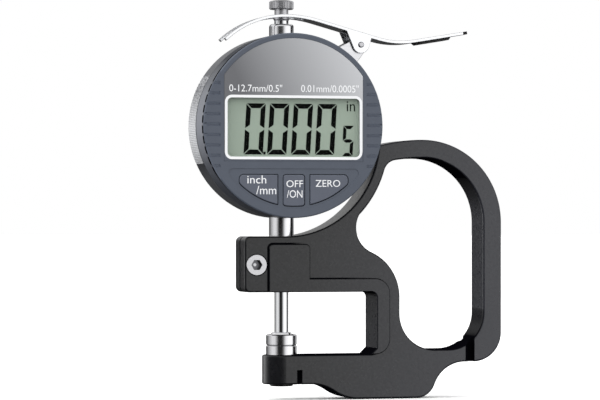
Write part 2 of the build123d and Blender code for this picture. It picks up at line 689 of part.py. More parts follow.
def label_shape(grow=0.0):
    """The field above and round the window: a straight-sided shape under an arc."""
    with Locations((0, DIAL_Z)):
        Circle(LABEL_ARC_R + grow)
    with Locations((0, LABEL_LOW_Z - grow)):
        Rectangle(2 * (LABEL_HALF_W + grow), 60, align=(Align.CENTER, Align.MIN), mode=Mode.INTERSECT)


def button_shape(span, grow=0.0):
    """A button seen from the front: level top, upright sides and a lower edge along the dial."""
    inner, outer = sorted(span, key=abs)
    with BuildSketch(mode=Mode.PRIVATE) as outline:
        with Locations((0, DIAL_Z)):
            Circle(BUTTON_ARC_R)
        with Locations(((inner + outer) / 2, BUTTON_TOP_Z)):
            Rectangle(abs(outer - inner), 30, align=(Align.CENTER, Align.MAX), mode=Mode.INTERSECT)
        corners = outline.vertices()
        outer_corners = [v for v in corners if abs(v.X - outer) < 0.01]
        inner_corners = [v for v in corners if abs(v.X - inner) < 0.01]
        if inner == -outer:
            fillet(corners, 0.8)
        else:
            fillet(outer_corners, 1.4)
            fillet(inner_corners, 0.8)
        if grow:
            offset(amount=grow)
    add(outline.sketch)


with BuildPart() as front_cover:
    disc(DIAL_R, *COVER_Y)
    fillet(front_cover.faces().sort_by(Axis.Y)[0].edges(), 0.45)
    disc(PLUG_R, COVER_Y[1], SKIRT_Y)
    disc(SKIRT_R, WALL_BACK_Y, SKIRT_Y, mode=Mode.SUBTRACT)
    for post in post_points:
        disc(POST_R, WALL_BACK_Y, HEAD_FLOOR_Y, centre=post)
        disc(0.7, HEAD_FLOOR_Y - 4.0, HEAD_FLOOR_Y, centre=post, mode=Mode.SUBTRACT)

    # Finger grooves down both sides, with small teeth that bridge the seam behind the rim
    for side in (-1, 1):
        with BuildSketch(Plane.YZ.offset(side * GRIP_X)):
            with Locations(*[(COVER_Y[0] + GRIP_DEPTH - GRIP_CUT_R, z) for z in grip_rows]):
                Circle(GRIP_CUT_R)
        extrude(amount=side * 8.0, mode=Mode.SUBTRACT)
    with BuildSketch(facing_front(HEAD_Y[0])):
        with Locations(*[(0, z) for z in grip_rows]):
            Rectangle(2 * DIAL_R, 0.8)
        with Locations((0, DIAL_Z)):
            Circle(DIAL_R - 0.2, mode=Mode.INTERSECT)
            Circle(PLUG_R - 0.5, mode=Mode.SUBTRACT)
    extrude(amount=HEAD_Y[0] - COVER_Y[1])

    # Label recess, window with its ledge, keypad recess and button holes
    with BuildSketch(facing_front(LABEL_Y[1])):
        label_shape(0.1)
    extrude(amount=1.0, mode=Mode.SUBTRACT)
    with BuildSketch(facing_front(LENS_Y[1])):
        with Locations((0, WINDOW_Z)):
            RectangleRounded(*WINDOW, WINDOW_R)
    extrude(amount=2.0, mode=Mode.SUBTRACT)
    with BuildSketch(facing_front(WALL_BACK_Y)):
        with Locations((0, WINDOW_Z)):
            RectangleRounded(WINDOW[0] - 2 * LEDGE_W, WINDOW[1] - 2 * LEDGE_W, WINDOW_R - LEDGE_W)
    extrude(amount=2.0, mode=Mode.SUBTRACT)
    with BuildSketch(facing_front(COVER_Y[0] + 0.15)) as keypad_field:
        with Locations((0, DIAL_Z)):
            Circle(BUTTON_ARC_R + 0.9)
        with Locations((0, KEYPAD_TOP_Z)):
            Rectangle(2 * KEYPAD_HALF_W, 30, align=(Align.CENTER, Align.MAX), mode=Mode.INTERSECT)
        fillet(keypad_field.vertices(), 1.5)
    extrude(amount=1.0, mode=Mode.SUBTRACT)
    for span in BUTTON_SPANS.values():
        with BuildSketch(facing_front(WALL_BACK_Y)):
            button_shape(span, 0.25)
        extrude(amount=3.0, mode=Mode.SUBTRACT)
save(front_cover, "front_cover")

with BuildPart() as face_label:
    with BuildSketch(facing_front(LABEL_Y[1])):
        label_shape()
        with Locations((0, WINDOW_Z)):
            RectangleRounded(WINDOW[0] + 0.1, WINDOW[1] + 0.1, WINDOW_R, mode=Mode.SUBTRACT)
    extrude(amount=LABEL_Y[1] - LABEL_Y[0])
save(face_label, "face_label")

with BuildPart() as window_lens:
    with BuildSketch(facing_front(LENS_Y[1])):
        with Locations((0, WINDOW_Z)):
            RectangleRounded(WINDOW[0] - 0.1, WINDOW[1] - 0.1, WINDOW_R)
    extrude(amount=LENS_Y[1] - LENS_Y[0])
save(window_lens, "window_lens")


# Behind the window: display panel, its frame and the two strips that join it to the board

LCD_SIZE = (45.2, 20.6)
LCD_Y = (WALL_BACK_Y + 0.05, -12.75)
HOLDER_SIZE = (47.2, 22.6)
with BuildPart() as lcd_panel:
    with Locations((0, sum(LCD_Y) / 2, WINDOW_Z)):
        Box(LCD_SIZE[0], LCD_Y[1] - LCD_Y[0], LCD_SIZE[1])
save(lcd_panel, "lcd_panel")

with BuildPart() as lcd_holder:
    with BuildSketch(facing_front(BOARD_Y[0])):
        with Locations((0, WINDOW_Z)):
            RectangleRounded(*HOLDER_SIZE, 1.0)
            Rectangle(LCD_SIZE[0] + 0.2, LCD_SIZE[1] + 0.2, mode=Mode.SUBTRACT)
    extrude(amount=BOARD_Y[0] - LCD_Y[0])
save(lcd_holder, "lcd_holder")

with BuildPart() as zebra_strips:
    with BuildSketch(facing_front(BOARD_Y[0])):
        with Locations((0, WINDOW_Z)):
            with GridLocations(0, LCD_SIZE[1] - 3, 1, 2):
                Rectangle(40.0, 1.8)
    extrude(amount=BOARD_Y[0] - LCD_Y[1])
save(zebra_strips, "zebra_strips")

CHIPS = {(-11.0, 84.0): (7.0, 7.0), (10.0, 84.5): (3.0, 5.0), (-10.0, 60.0): (5.0, 3.0), (9.0, 60.0): (4.0, 6.0)}
with BuildPart() as circuit_board:
    with BuildSketch(facing_front(BOARD_Y[1])):
        with Locations((0, DIAL_Z)):
            Circle(HEAD_CAVITY_R - 0.6)
        with Locations(*post_points):
            Circle(POST_R + 0.4, mode=Mode.SUBTRACT)
    extrude(amount=BOARD_Y[1] - BOARD_Y[0])
    for (x, z), (width, height) in CHIPS.items():
        with Locations((x, BOARD_Y[1] + 0.4, z)):
            Box(width, 0.8, height)
save(circuit_board, "circuit_board")


# Buttons, each a crown in the cover with a flange behind it, over a rubber mat

BUTTON_CROWN_Y = -16.1
FLANGE_Y = (-14.1, -13.4)
MAT_Y = -11.8
DOME_Y = -12.6
DOME_Z = 50.6
for name, span in BUTTON_SPANS.items():
    with BuildPart() as button:
        with BuildSketch(facing_front(FLANGE_Y[0])):
            button_shape(span)
        extrude(amount=FLANGE_Y[0] - BUTTON_CROWN_Y)
        fillet(button.faces().sort_by(Axis.Y)[0].edges(), 0.3)
        with BuildSketch(facing_front(FLANGE_Y[1])):
            button_shape(span, 0.6)
        extrude(amount=FLANGE_Y[1] - FLANGE_Y[0])
    save(button, name)

with BuildPart() as keypad_mat:
    with BuildSketch(facing_front(BOARD_Y[0])) as mat:
        with Locations((0, DIAL_Z)):
            Circle(BUTTON_ARC_R + 0.2)
        with Locations((0, KEYPAD_TOP_Z - 0.8)):
            Rectangle(36.0, 30, align=(Align.CENTER, Align.MAX), mode=Mode.INTERSECT)
    extrude(amount=BOARD_Y[0] - MAT_Y)
    for span in BUTTON_SPANS.values():
        disc(2.0, DOME_Y, MAT_Y, centre=(sum(span) / 2, DOME_Z))
save(keypad_mat, "keypad_mat")


# Lifting lever: one bent strip, forked round the knob, with two ears on the pivot pin

TIP = (-20.0, 99.05)
RISE_R = 30.0
RISE_TURN = 43.1
FALL_R = 41.0
FALL_TURN = 15.4
SLOPE_LENGTH = 20.85
VALLEY_R = 27.9
TAIL_TURN = 9.5
TAIL_LENGTH = 19.0
SLOT_END_X = 4.7
EAR_R = 2.75
EAR_TOP = ((20.9, 102.3), (29.0, 100.1))
EAR_GAP = LEVER_W / 2 - EAR_T
GRIP_START = 1.5
GRIP_LENGTH = 11.4
GRIP_T = 0.9

with BuildPart() as lever:
    with BuildSketch(Plane.XZ):
        with BuildLine():
            start_dir = (cos(radians(RISE_TURN)), sin(radians(RISE_TURN)))
            rise = JernArc(start=TIP, tangent=start_dir, radius=RISE_R, arc_size=-RISE_TURN)
            fall = JernArc(start=rise @ 1, tangent=(1, 0), radius=FALL_R, arc_size=-FALL_TURN)
            slope = PolarLine(start=fall @ 1, length=SLOPE_LENGTH, angle=-FALL_TURN)
            valley = JernArc(start=slope @ 1, tangent=slope % 1, radius=VALLEY_R, arc_size=FALL_TURN + TAIL_TURN)
            tail = PolarLine(start=valley @ 1, length=TAIL_LENGTH, angle=TAIL_TURN)
            offset(amount=SHEET_T, side=Side.RIGHT)
        make_face()
    extrude(amount=LEVER_W / 2, both=True)
    with BuildSketch(level(TIP[1] - 5)):
        with Locations((SLOT_END_X, 0)):
            Circle(SLOT_W / 2)
            Rectangle(40, SLOT_W, align=(Align.MAX, Align.CENTER))
    extrude(amount=20.0, mode=Mode.SUBTRACT)
    tail_edges = lever.edges().filter_by(lambda e: e.center().X > 60 and e.length < 1.1).filter_by(GeomType.LINE)
    fillet(tail_edges.filter_by(lambda e: abs(e.center().Y) > 4), 1.6)
    for ear_y in (-EAR_GAP, LEVER_W / 2):
        with BuildSketch(facing_front(ear_y)):
            with Locations(PIVOT):
                Circle(EAR_R)
            with Locations(*EAR_TOP):
                Circle(0.2)
            make_hull()
            with Locations(PIVOT):
                Circle(PIVOT_PIN_R + RUNNING_FIT, mode=Mode.SUBTRACT)
        extrude(amount=EAR_T)
save(lever, "lever")

tail_plane = Plane(
    ((valley @ 1).X, 0, (valley @ 1).Y),
    x_dir=(cos(radians(TAIL_TURN)), 0, sin(radians(TAIL_TURN))),
    z_dir=(0, -1, 0),
)
with BuildPart() as lever_grip:
    with BuildSketch(tail_plane):
        with BuildLine():
            grip_end = GRIP_START + GRIP_LENGTH
            Polyline(
                (GRIP_START, -SHEET_T),
                (grip_end, -SHEET_T),
                (grip_end - 0.8, -SHEET_T - GRIP_T),
                (GRIP_START + 0.8, -SHEET_T - GRIP_T),
                close=True,
            )
        make_face()
    extrude(amount=LEVER_W / 2 - 0.5, both=True)
save(lever_grip, "lever_grip")

CHEEK_Y = (2.3, 3.4)
CHEEK_R = 2.5
BASE_T = 1.2
BASE_W = 8.4
BASE_DROP = 0.6
pivot_local = bracket_plane.to_local_coords(Vector(PIVOT[0], 0, PIVOT[1]))
pivot_on_bracket = (pivot_local.X, pivot_local.Y)
base_at = (BRACKET_FLAT + BASE_T / 2, -BASE_DROP)
with BuildPart() as lever_bracket:
    with BuildSketch(bracket_plane):
        with Locations(base_at):
            Rectangle(BASE_T, BASE_W)
    extrude(amount=CHEEK_Y[1], both=True)
    for cheek_y in (CHEEK_Y[1], -CHEEK_Y[0]):
        with BuildSketch(bracket_plane.offset(-cheek_y)):
            with Locations(base_at):
                Rectangle(BASE_T, BASE_W)
            with Locations(pivot_on_bracket):
                Circle(CHEEK_R)
            make_hull()
            with Locations(pivot_on_bracket):
                Circle(PIVOT_PIN_R + SEAT_FIT, mode=Mode.SUBTRACT)
        extrude(amount=CHEEK_Y[1] - CHEEK_Y[0])
    with Locations(bracket_flat):
        Hole(1.0 + SEAT_FIT, depth=BASE_T * 2)
save(lever_bracket, "lever_bracket")

with BuildPart() as bracket_screw:
    with BuildSketch(bracket_flat.offset(BASE_T)):
        Circle(1.9)
    extrude(amount=1.2)
    fillet(bracket_screw.edges().filter_by(GeomType.CIRCLE).sort_by(Axis.Z)[-1], 0.4)
    with BuildSketch(bracket_flat.offset(BASE_T + 0.6)):
        Rectangle(0.5, 2.6)
        Rectangle(2.6, 0.5)
    extrude(amount=1.0, mode=Mode.SUBTRACT)
    with BuildSketch(bracket_flat.offset(-2.0)):
        Circle(1.0)
    extrude(amount=2.0 + BASE_T)
save(bracket_screw, "bracket_screw")

RIVET_HEAD_R = 0.95
with BuildPart() as lever_pivot_pin:
    reach = LEVER_W / 2 + 0.15
    disc(PIVOT_PIN_R, -reach, reach, centre=PIVOT)
    disc(RIVET_HEAD_R, -reach - 0.4, -reach, centre=PIVOT)
    disc(RIVET_HEAD_R, reach, reach + 0.4, centre=PIVOT)
    rims = (lever_pivot_pin.faces().sort_by(Axis.Y)[0], lever_pivot_pin.faces().sort_by(Axis.Y)[-1])
    chamfer([edge for face in rims for edge in face.edges()], 0.2)
save(lever_pivot_pin, "lever_pivot_pin")
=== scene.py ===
# %% [markdown]
# # A digital thickness gauge
# This lesson dresses a hand-held thickness gauge for a studio picture. The rigid shapes come from the
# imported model, in metres, with the spindle axis on Z and the display facing -Y. What is left to make
# here is what the workshop adds last: coatings, grain, brushing, print, the figures of the display and
# the knurling under the fingers.

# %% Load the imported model
from math import cos, pi, radians, sin, tan

import bmesh
import bpy
from mathutils import Matrix, Vector


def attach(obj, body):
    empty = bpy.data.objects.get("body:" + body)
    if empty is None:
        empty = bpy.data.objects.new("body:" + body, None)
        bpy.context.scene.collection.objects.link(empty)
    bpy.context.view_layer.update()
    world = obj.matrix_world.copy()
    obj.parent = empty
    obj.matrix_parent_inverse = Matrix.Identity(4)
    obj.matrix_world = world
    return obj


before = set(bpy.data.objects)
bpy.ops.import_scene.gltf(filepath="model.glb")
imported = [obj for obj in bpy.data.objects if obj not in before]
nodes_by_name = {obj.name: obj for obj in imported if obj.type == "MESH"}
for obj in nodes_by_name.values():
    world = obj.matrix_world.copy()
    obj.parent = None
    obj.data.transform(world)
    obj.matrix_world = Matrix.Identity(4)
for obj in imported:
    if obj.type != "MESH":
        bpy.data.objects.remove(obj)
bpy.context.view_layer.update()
MM = 0.001
print("nodes:", len(nodes_by_name))

# %% [markdown]
# ## Camera
# The gauge was photographed from far away with a long lens, turned fifteen degrees to the left and
# held level, so upright edges stay upright. A level camera with a small vertical shift keeps them so,
# where tilting the camera would make them lean.

# %% Place the camera
camera_data = bpy.data.cameras.new("long_lens")
camera = bpy.data.objects.new("camera", camera_data)
bpy.context.scene.collection.objects.link(camera)
IMAGE_W = 600
FOCAL_PX = 3017
HORIZON_BELOW_MIDDLE_PX = 21.7
camera_data.sensor_width = 36
camera_data.lens = FOCAL_PX / IMAGE_W * camera_data.sensor_width
camera_data.shift_y = HORIZON_BELOW_MIDDLE_PX / IMAGE_W
camera_data.clip_end = 50
VIEW_TURN = radians(-15)
camera.location = (-0.24768, -0.94769, 0.04003)
camera.rotation_euler = (pi / 2, 0, VIEW_TURN)
bpy.context.scene.camera = camera
print("lens", round(camera_data.lens, 1), "mm")

# %% [markdown]
# ## Studio
# Chrome has no colour of its own: it shows the room. A product photographer puts a black card behind
# the camera, white light on the right and a greyer one on the left, and on a rod these become a dark
# stripe between a grey and a white one. Here the room is the world's shader. For a mirror ray it reads
# the angle round the gauge, counted from the camera and positive to the right, and gives the brightness
# of the wall there. Matt surfaces get a soft light instead, and the camera sees plain white.

# %% Read the angle round the gauge
scene = bpy.context.scene
scene.view_settings.view_transform = "Standard"
world = bpy.data.worlds.new("studio")
scene.world = world
world.use_nodes = True
room = world.node_tree
room.nodes.clear()
ray_direction = room.nodes.new("ShaderNodeTexCoord").outputs["Generated"]


def node_maker(tree):
    """A function that adds a node to the tree and sets its inputs in order, each by a socket or a number.

    It gives back the node's result, which is the second output where the node has no use for its first.
    """
    def add(kind, *values, **settings):
        made = tree.nodes.new(kind)
        for name, setting in settings.items():
            setattr(made, name, setting)
        for place, value in enumerate(values):
            if isinstance(value, bpy.types.NodeSocket):
                tree.links.new(value, made.inputs[place])
            else:
                made.inputs[place].default_value = value
        return made.outputs[0] if made.outputs[0].enabled else made.outputs[1]

    return add


room_node = node_maker(room)
TO_CAMERA = (sin(VIEW_TURN), -cos(VIEW_TURN), 0)
TO_RIGHT = (cos(VIEW_TURN), sin(VIEW_TURN), 0)
STRAIGHT_UP = (0, 0, 1)
ahead = room_node("ShaderNodeVectorMath", ray_direction, TO_CAMERA, operation="DOT_PRODUCT")
right = room_node("ShaderNodeVectorMath", ray_direction, TO_RIGHT, operation="DOT_PRODUCT")
height = room_node("ShaderNodeVectorMath", ray_direction, STRAIGHT_UP, operation="DOT_PRODUCT")
angle = room_node("ShaderNodeMath", right, ahead, operation="ARCTAN2")
share_of_turn = room_node("ShaderNodeMath", angle, 1 / (2 * pi), 0.5, operation="MULTIPLY_ADD")
print("towards the camera:", [round(part, 3) for part in TO_CAMERA])

# %% [markdown]
# The walls are one colour ramp round the full turn. Black stands in front, from the camera's left shoulder
# to just past it, and the white of the right side comes up in steps small enough to leave no edge on a
# rod. The left side is nearly black here, because the cards that follow light it piece by piece.

# %% Paint the walls
WALLS = (
    (-180, 0.03), (-142, 0.02), (-124, 0.25), (-98, 0.25), (-90, 0.01), (2, 0.01), (8, 0.05),
    (14, 0.14), (20, 0.35), (26, 0.62), (32, 0.88), (40, 1.1), (60, 1.30), (90, 1.2), (97, 0.4),
    (101, 0.02), (108, 0.02), (115, 0.45), (142, 0.35), (158, 0.3), (180, 0.03),
)
walls = room.nodes.new("ShaderNodeValToRGB")
room.links.new(share_of_turn, walls.inputs["Fac"])
stops = walls.color_ramp.elements
while len(stops) < len(WALLS):
    stops.new(1.0)
for stop, (degrees_round, grey) in zip(stops, WALLS):
    stop.position = 0.5 + degrees_round / 360
    stop.color = (grey, grey, grey, 1)
print("wall stops:", len(stops))

# %% [markdown]
# A ceiling closes the room, with a dark opening straight above, and a dark floor keeps the undersides of
# the rods from glowing. The ray's height says which of them it meets, and each fades in between two
# heights. At the end a mirror ray sees the room, a matt one a soft light that is stronger from above, and
# the camera a white backdrop.

# %% Close the room, and say which ray sees what
FLOOR_FADE = (-0.3, -0.08)
CEILING_FADE = (0.26, 0.08)
ROOF_FADE = (0.72, 0.9)
SOFT_FADE = (-0.3, 0.3)
above_floor = room_node("ShaderNodeMapRange", height, *FLOOR_FADE)
below_ceiling = room_node("ShaderNodeMapRange", height, *CEILING_FADE)
open_roof = room_node("ShaderNodeMapRange", height, *ROOF_FADE)
CEILING = (0.75, 0.75, 0.75, 1)
DARK_ROOF = (0.03, 0.03, 0.03, 1)
DARK_FLOOR = (0.06, 0.06, 0.06, 1)
under_ceiling = room_node("ShaderNodeMixRGB", below_ceiling, CEILING, walls.outputs["Color"])
under_roof = room_node("ShaderNodeMixRGB", open_roof, under_ceiling, DARK_ROOF)
mirrored = room_node("ShaderNodeMixRGB", above_floor, DARK_FLOOR, under_roof)

SOFT_ABOVE = (1.5, 1.5, 1.5, 1)
SOFT_BELOW = (0.40, 0.40, 0.41, 1)
BACKDROP = (1.0, 1.0, 1.0, 1)
upwards = room_node("ShaderNodeMapRange", height, *SOFT_FADE)
soft = room_node("ShaderNodeMixRGB", upwards, SOFT_BELOW, SOFT_ABOVE)
even = room_node("ShaderNodeBackground", soft, 1.0)
mirror = room_node("ShaderNodeBackground", mirrored, 1.0)
backdrop = room_node("ShaderNodeBackground", BACKDROP, 1.0)
ray = room.nodes.new("ShaderNodeLightPath")
lit = room_node("ShaderNodeMixShader", ray.outputs["Is Glossy Ray"], even, mirror)
seen = room_node("ShaderNodeMixShader", ray.outputs["Is Camera Ray"], lit, backdrop)
sky = room.nodes.new("ShaderNodeOutputWorld")
room.links.new(seen, sky.inputs["Surface"])
print("room:", len(room.nodes), "nodes")

# %% [markdown]
# Two soft lamps give the matt surfaces a direction: a key from the left and a weaker one from above. They
# stay out of the mirrors, where they would draw hard white rectangles.

# %% Hang the lamps
LAMP_AIM = (0.01, 0, 0.05)


def soft_lamp(name, place, width, height, power, aim=LAMP_AIM):
    """A rectangular lamp that faces the gauge."""
    lamp = bpy.data.lights.new(name, "AREA")
    lamp.shape = "RECTANGLE"
    lamp.size = width
    lamp.size_y = height
    lamp.energy = power
    holder = bpy.data.objects.new(name, lamp)
    holder.location = place
    holder.rotation_euler = (Vector(aim) - Vector(place)).to_track_quat("-Z", "Y").to_euler()
    holder.visible_camera = False
    holder.visible_glossy = False
    scene.collection.objects.link(holder)
    return holder


soft_lamp("key", (-1.1, -0.25, 0.5), width=0.6, height=0.9, power=6)
soft_lamp("top", (0.1, 0.1, 1.2), width=0.9, height=0.9, power=2)
print("lamps:", ", ".join(lamp.name for lamp in bpy.data.lights))

# %% [markdown]
# Three sets of cards stand round the gauge. Bright metal wants a broad grey field on the left that fades
# softly towards the camera. The same field would wash out the black of the coated nose, which wants a
# narrow bright one further back, and one on the right for its flat faces. The flat stampings get one on
# the right too. Light linking does what a flag between card and piece does in a studio: the lamps of one
# set reach only the pieces of one collection. Each card is given by its angle, half its width in degrees
# and its brightness.

# %% Set the cards
CARDS_OF = {
    "bright_metal": (
        (-101, 9, 0.25), (-84, 8, 0.70), (-68, 8, 0.82), (-52, 8, 0.80), (-38, 6, 0.42), (-28, 4, 0.12),
    ),
    "coated_plate": (
        (-122, 12, 1.9), (-104, 6, 1.0), (-93, 5, 0.45), (-83, 5, 0.20), (-74, 4, 0.06), (38, 13, 1.05),
    ),
    "flat_metal": ((31, 10, 0.55),),
}
PIECES_OF = {
    "bright_metal": (
        "spindle", "stem", "upper_guide", "lower_anvil", "contact_anvil", "lift_knob", "lever",
        "lever_bracket", "lever_pivot_pin", "clamp_screw", "rear_case",
    ),
    "coated_plate": ("frame",),
    "flat_metal": ("lever", "lever_bracket", "lever_pivot_pin", "clamp_screw"),
}
CARD_DISTANCE = 1.2
CARD_H = 1.0
CARD_AIM = (0, 0, 0.05)
for group, cards in CARDS_OF.items():
    receivers = bpy.data.collections.new(group)
    for name in PIECES_OF[group]:
        receivers.objects.link(nodes_by_name[name])
    for number, (turn, half_width, grey) in enumerate(cards, 1):
        side = Vector(TO_CAMERA) * cos(radians(turn)) + Vector(TO_RIGHT) * sin(radians(turn))
        place = side * CARD_DISTANCE + Vector(CARD_AIM)
        width = 2 * CARD_DISTANCE * tan(radians(half_width))
        power = grey * pi * width * CARD_H
        card = soft_lamp(f"{group}_card_{number}", place, width, CARD_H, power, aim=CARD_AIM)
        card.visible_glossy = True
        card.light_linking.receiver_collection = receivers
    print(f"{group}: {len(cards)} cards, {len(PIECES_OF[group])} pieces")

# %% [markdown]
# The floor is a wide disc just under the gauge. It catches the contact shadow and stays out of the
# mirrors and of the bounced light, so it doesn't brighten the underside of the plate.

# %% Lay the floor
FLOOR_R = 12
FLOOR_Z = -0.0176
floor_mesh = bpy.data.meshes.new("floor")
shape = bmesh.new()
bmesh.ops.create_circle(shape, cap_ends=True, segments=96, radius=FLOOR_R)
bmesh.ops.translate(shape, verts=shape.verts, vec=(0, 0, FLOOR_Z))
shape.to_mesh(floor_mesh)
shape.free()
floor = bpy.data.objects.new("floor", floor_mesh)
floor.visible_glossy = False
floor.visible_diffuse = False
scene.collection.objects.link(floor)
print("floor:", FLOOR_R, "m in radius, at Z", FLOOR_Z, "m")

# %% [markdown]
# ## Finishes
# Every finish starts from the same shader and gets its character from noise: a coating's orange peel, a
# turned surface's rings, a moulding's fine grain. The patterns read Object coordinates, in metres, so a
# scale of 1000 repeats about every millimetre and the grain has a real size.


# %% Shared steps of a finish
def shader_of(material):
    return material.node_tree.nodes["Principled BSDF"]


def finish(name, colour, metallic=0.0, roughness=0.5, specular=0.5):
    """A new material with its shader set, ready for a pattern."""
    material = bpy.data.materials.new(name)
    material.use_nodes = True
    shader = shader_of(material)
    shader.inputs["Base Color"].default_value = (*colour, 1)
    shader.inputs["Metallic"].default_value = metallic
    shader.inputs["Roughness"].default_value = roughness
    shader.inputs["Specular IOR Level"].default_value = specular
    print(f"{name}: metallic {metallic}, roughness {roughness}")
    return material


def noise(material, scale, detail=3.0, stretch=(1, 1, 1)):
    """The value of a noise over the piece, finer with a larger scale, and pulled out along an axis."""
    tree = material.node_tree
    place = tree.nodes.new("ShaderNodeTexCoord")
    pull = tree.nodes.new("ShaderNodeMapping")
    pull.inputs["Scale"].default_value = stretch
    grain = tree.nodes.new("ShaderNodeTexNoise")
    grain.inputs["Scale"].default_value = scale
    grain.inputs["Detail"].default_value = detail
    tree.links.new(place.outputs["Object"], pull.inputs["Vector"])
    tree.links.new(pull.outputs["Vector"], grain.inputs["Vector"])
    return grain.outputs["Fac"]


# %% [markdown]
# A noise stays mostly between 0.3 and 0.7, so that span is what gets spread over a range of roughness or
# over two colours.

# %% Let a pattern change gloss, colour and height
MOST_OF_NOISE = (0.3, 0.7)


def vary_roughness(material, value, low, high):
    """Spreads a pattern's value over a range of roughness."""
    spread = node_maker(material.node_tree)("ShaderNodeMapRange", value, *MOST_OF_NOISE, low, high)
    material.node_tree.links.new(spread, shader_of(material).inputs["Roughness"])


def vary_colour(material, value, dark, light, span=MOST_OF_NOISE):
    """Runs the base colour from dark to light along a pattern's value."""
    tree = material.node_tree
    ramp = tree.nodes.new("ShaderNodeValToRGB")
    for stop, position, colour in zip(ramp.color_ramp.elements, span, (dark, light)):
        stop.position = position
        stop.color = (*colour, 1)
    tree.links.new(value, ramp.inputs["Fac"])
    tree.links.new(ramp.outputs["Color"], shader_of(material).inputs["Base Color"])


def raise_surface(material, value, depth_mm, strength=0.5):
    """Lets a pattern lift the surface by a depth."""
    tree = material.node_tree
    bump = tree.nodes.new("ShaderNodeBump")
    bump.inputs["Strength"].default_value = strength
    bump.inputs["Distance"].default_value = depth_mm * MM
    tree.links.new(value, bump.inputs["Height"])
    tree.links.new(bump.outputs["Normal"], shader_of(material).inputs["Normal"])


def soften_edges(material, radius_mm):
    """Bends the light on every edge as if it were rounded, under the surface's own pattern."""
    tree = material.node_tree
    rounded = tree.nodes.new("ShaderNodeBevel")
    rounded.samples = 6
    rounded.inputs["Radius"].default_value = radius_mm * MM
    tree.links.new(rounded.outputs["Normal"], tree.nodes["Bump"].inputs["Normal"])


# %% [markdown]
# Some marks of a finish have a place on the piece: a worn handle, painted shade in a slot. Their place is
# read from the piece's own coordinates in millimetres, and the way the surface looks from its own normal.

# %% Read a place on the piece
PER_MM = (1000, 1000, 1000)


def place_in_mm(material):
    """The X, Y and Z of the piece in millimetres."""
    tree = material.node_tree
    place = tree.nodes.new("ShaderNodeTexCoord").outputs["Object"]
    scaled = node_maker(tree)("ShaderNodeVectorMath", place, PER_MM, operation="MULTIPLY")
    parts = tree.nodes.new("ShaderNodeSeparateXYZ")
    tree.links.new(scaled, parts.inputs["Vector"])
    return parts.outputs


def facing(material):
    """The X, Y and Z of the direction in which the surface looks."""
    tree = material.node_tree
    parts = tree.nodes.new("ShaderNodeSeparateXYZ")
    tree.links.new(tree.nodes.new("ShaderNodeTexCoord").outputs["Normal"], parts.inputs["Vector"])
    return parts.outputs


# %% [markdown]
# A mark is a share between 0 and 1, made with sums on these values. A socket knows the tree that it
# belongs to, so a sum needs only its values. FAR stands for an open end, beyond every edge of the gauge.

# %% Work out a share
FAR = 200


def maths(operation, *values):
    """A sum on sockets and numbers, in the tree that the first socket belongs to."""
    tree = next(value.id_data for value in values if isinstance(value, bpy.types.NodeSocket))
    return node_maker(tree)("ShaderNodeMath", *values, operation=operation)


def between(value, low, high, soft=0.03):
    """1 where a value lies between low and high, 0 elsewhere, with soft steps."""
    add = node_maker(value.id_data)
    rises = add("ShaderNodeMapRange", value, low - soft, low)
    falls = add("ShaderNodeMapRange", value, high + soft, high)
    return maths("MULTIPLY", rises, falls)


def combined(operation, shares):
    """Joins the shares one after another by the same operation."""
    whole = shares[0]
    for share in shares[1:]:
        whole = maths(operation, whole, share)
    return whole


def all_of(*shares):
    """The product of several shares."""
    return combined("MULTIPLY", shares)


def any_of(*shares):
    """The largest of several shares."""
    return combined("MAXIMUM", shares)


def distance(one, other):
    """The length of the line that goes one way by one value and across by the other."""
    squares = [maths("MULTIPLY", side, side) for side in (one, other)]
    return maths("SQRT", maths("ADD", *squares))


def past(value, limit):
    """How far a value lies past a limit, and 0 before it."""
    return maths("MAXIMUM", maths("SUBTRACT", value, limit), 0)


# %% [markdown]
# A worn or dirty place blends towards another colour. A recess swallows light, so there the finish turns
# black and loses its gloss as well. Black paint alone would still mirror the bright wall.

# %% Lay a mark on a finish
SHADOW = (0.002, 0.002, 0.003)


def blend_colour(material, share, colour):
    """Blends the base colour towards another where the share is 1."""
    tree = material.node_tree
    colour_input = shader_of(material).inputs["Base Color"]
    first = colour_input.links[0].from_socket if colour_input.links else tuple(colour_input.default_value)
    mixed = node_maker(tree)("ShaderNodeMixRGB", share, first, (*colour, 1))
    tree.links.new(mixed, colour_input)


def lose_gloss(material, share):
    """Takes the gloss where the share is 1."""
    gloss = shader_of(material).inputs["Specular IOR Level"]
    left_over = maths("SUBTRACT", 1, share)
    material.node_tree.links.new(maths("MULTIPLY", left_over, gloss.default_value), gloss)


# %% [markdown]
# ### Coated frame
# The plate is cast, ground flat and powder coated. The coat is charcoal and satin, with a faint orange
# peel that breaks up the reflection.

# %% Coated frame
coat = finish("charcoal_coat", (0.0026, 0.0028, 0.004), roughness=0.3, specular=0.5)
vary_roughness(coat, noise(coat, scale=1400, detail=4), 0.26, 0.36)
vary_colour(coat, noise(coat, scale=260), (0.0028, 0.0030, 0.0042), (0.0046, 0.0050, 0.0066))
raise_surface(coat, noise(coat, scale=2600, detail=2), depth_mm=0.015, strength=0.15)
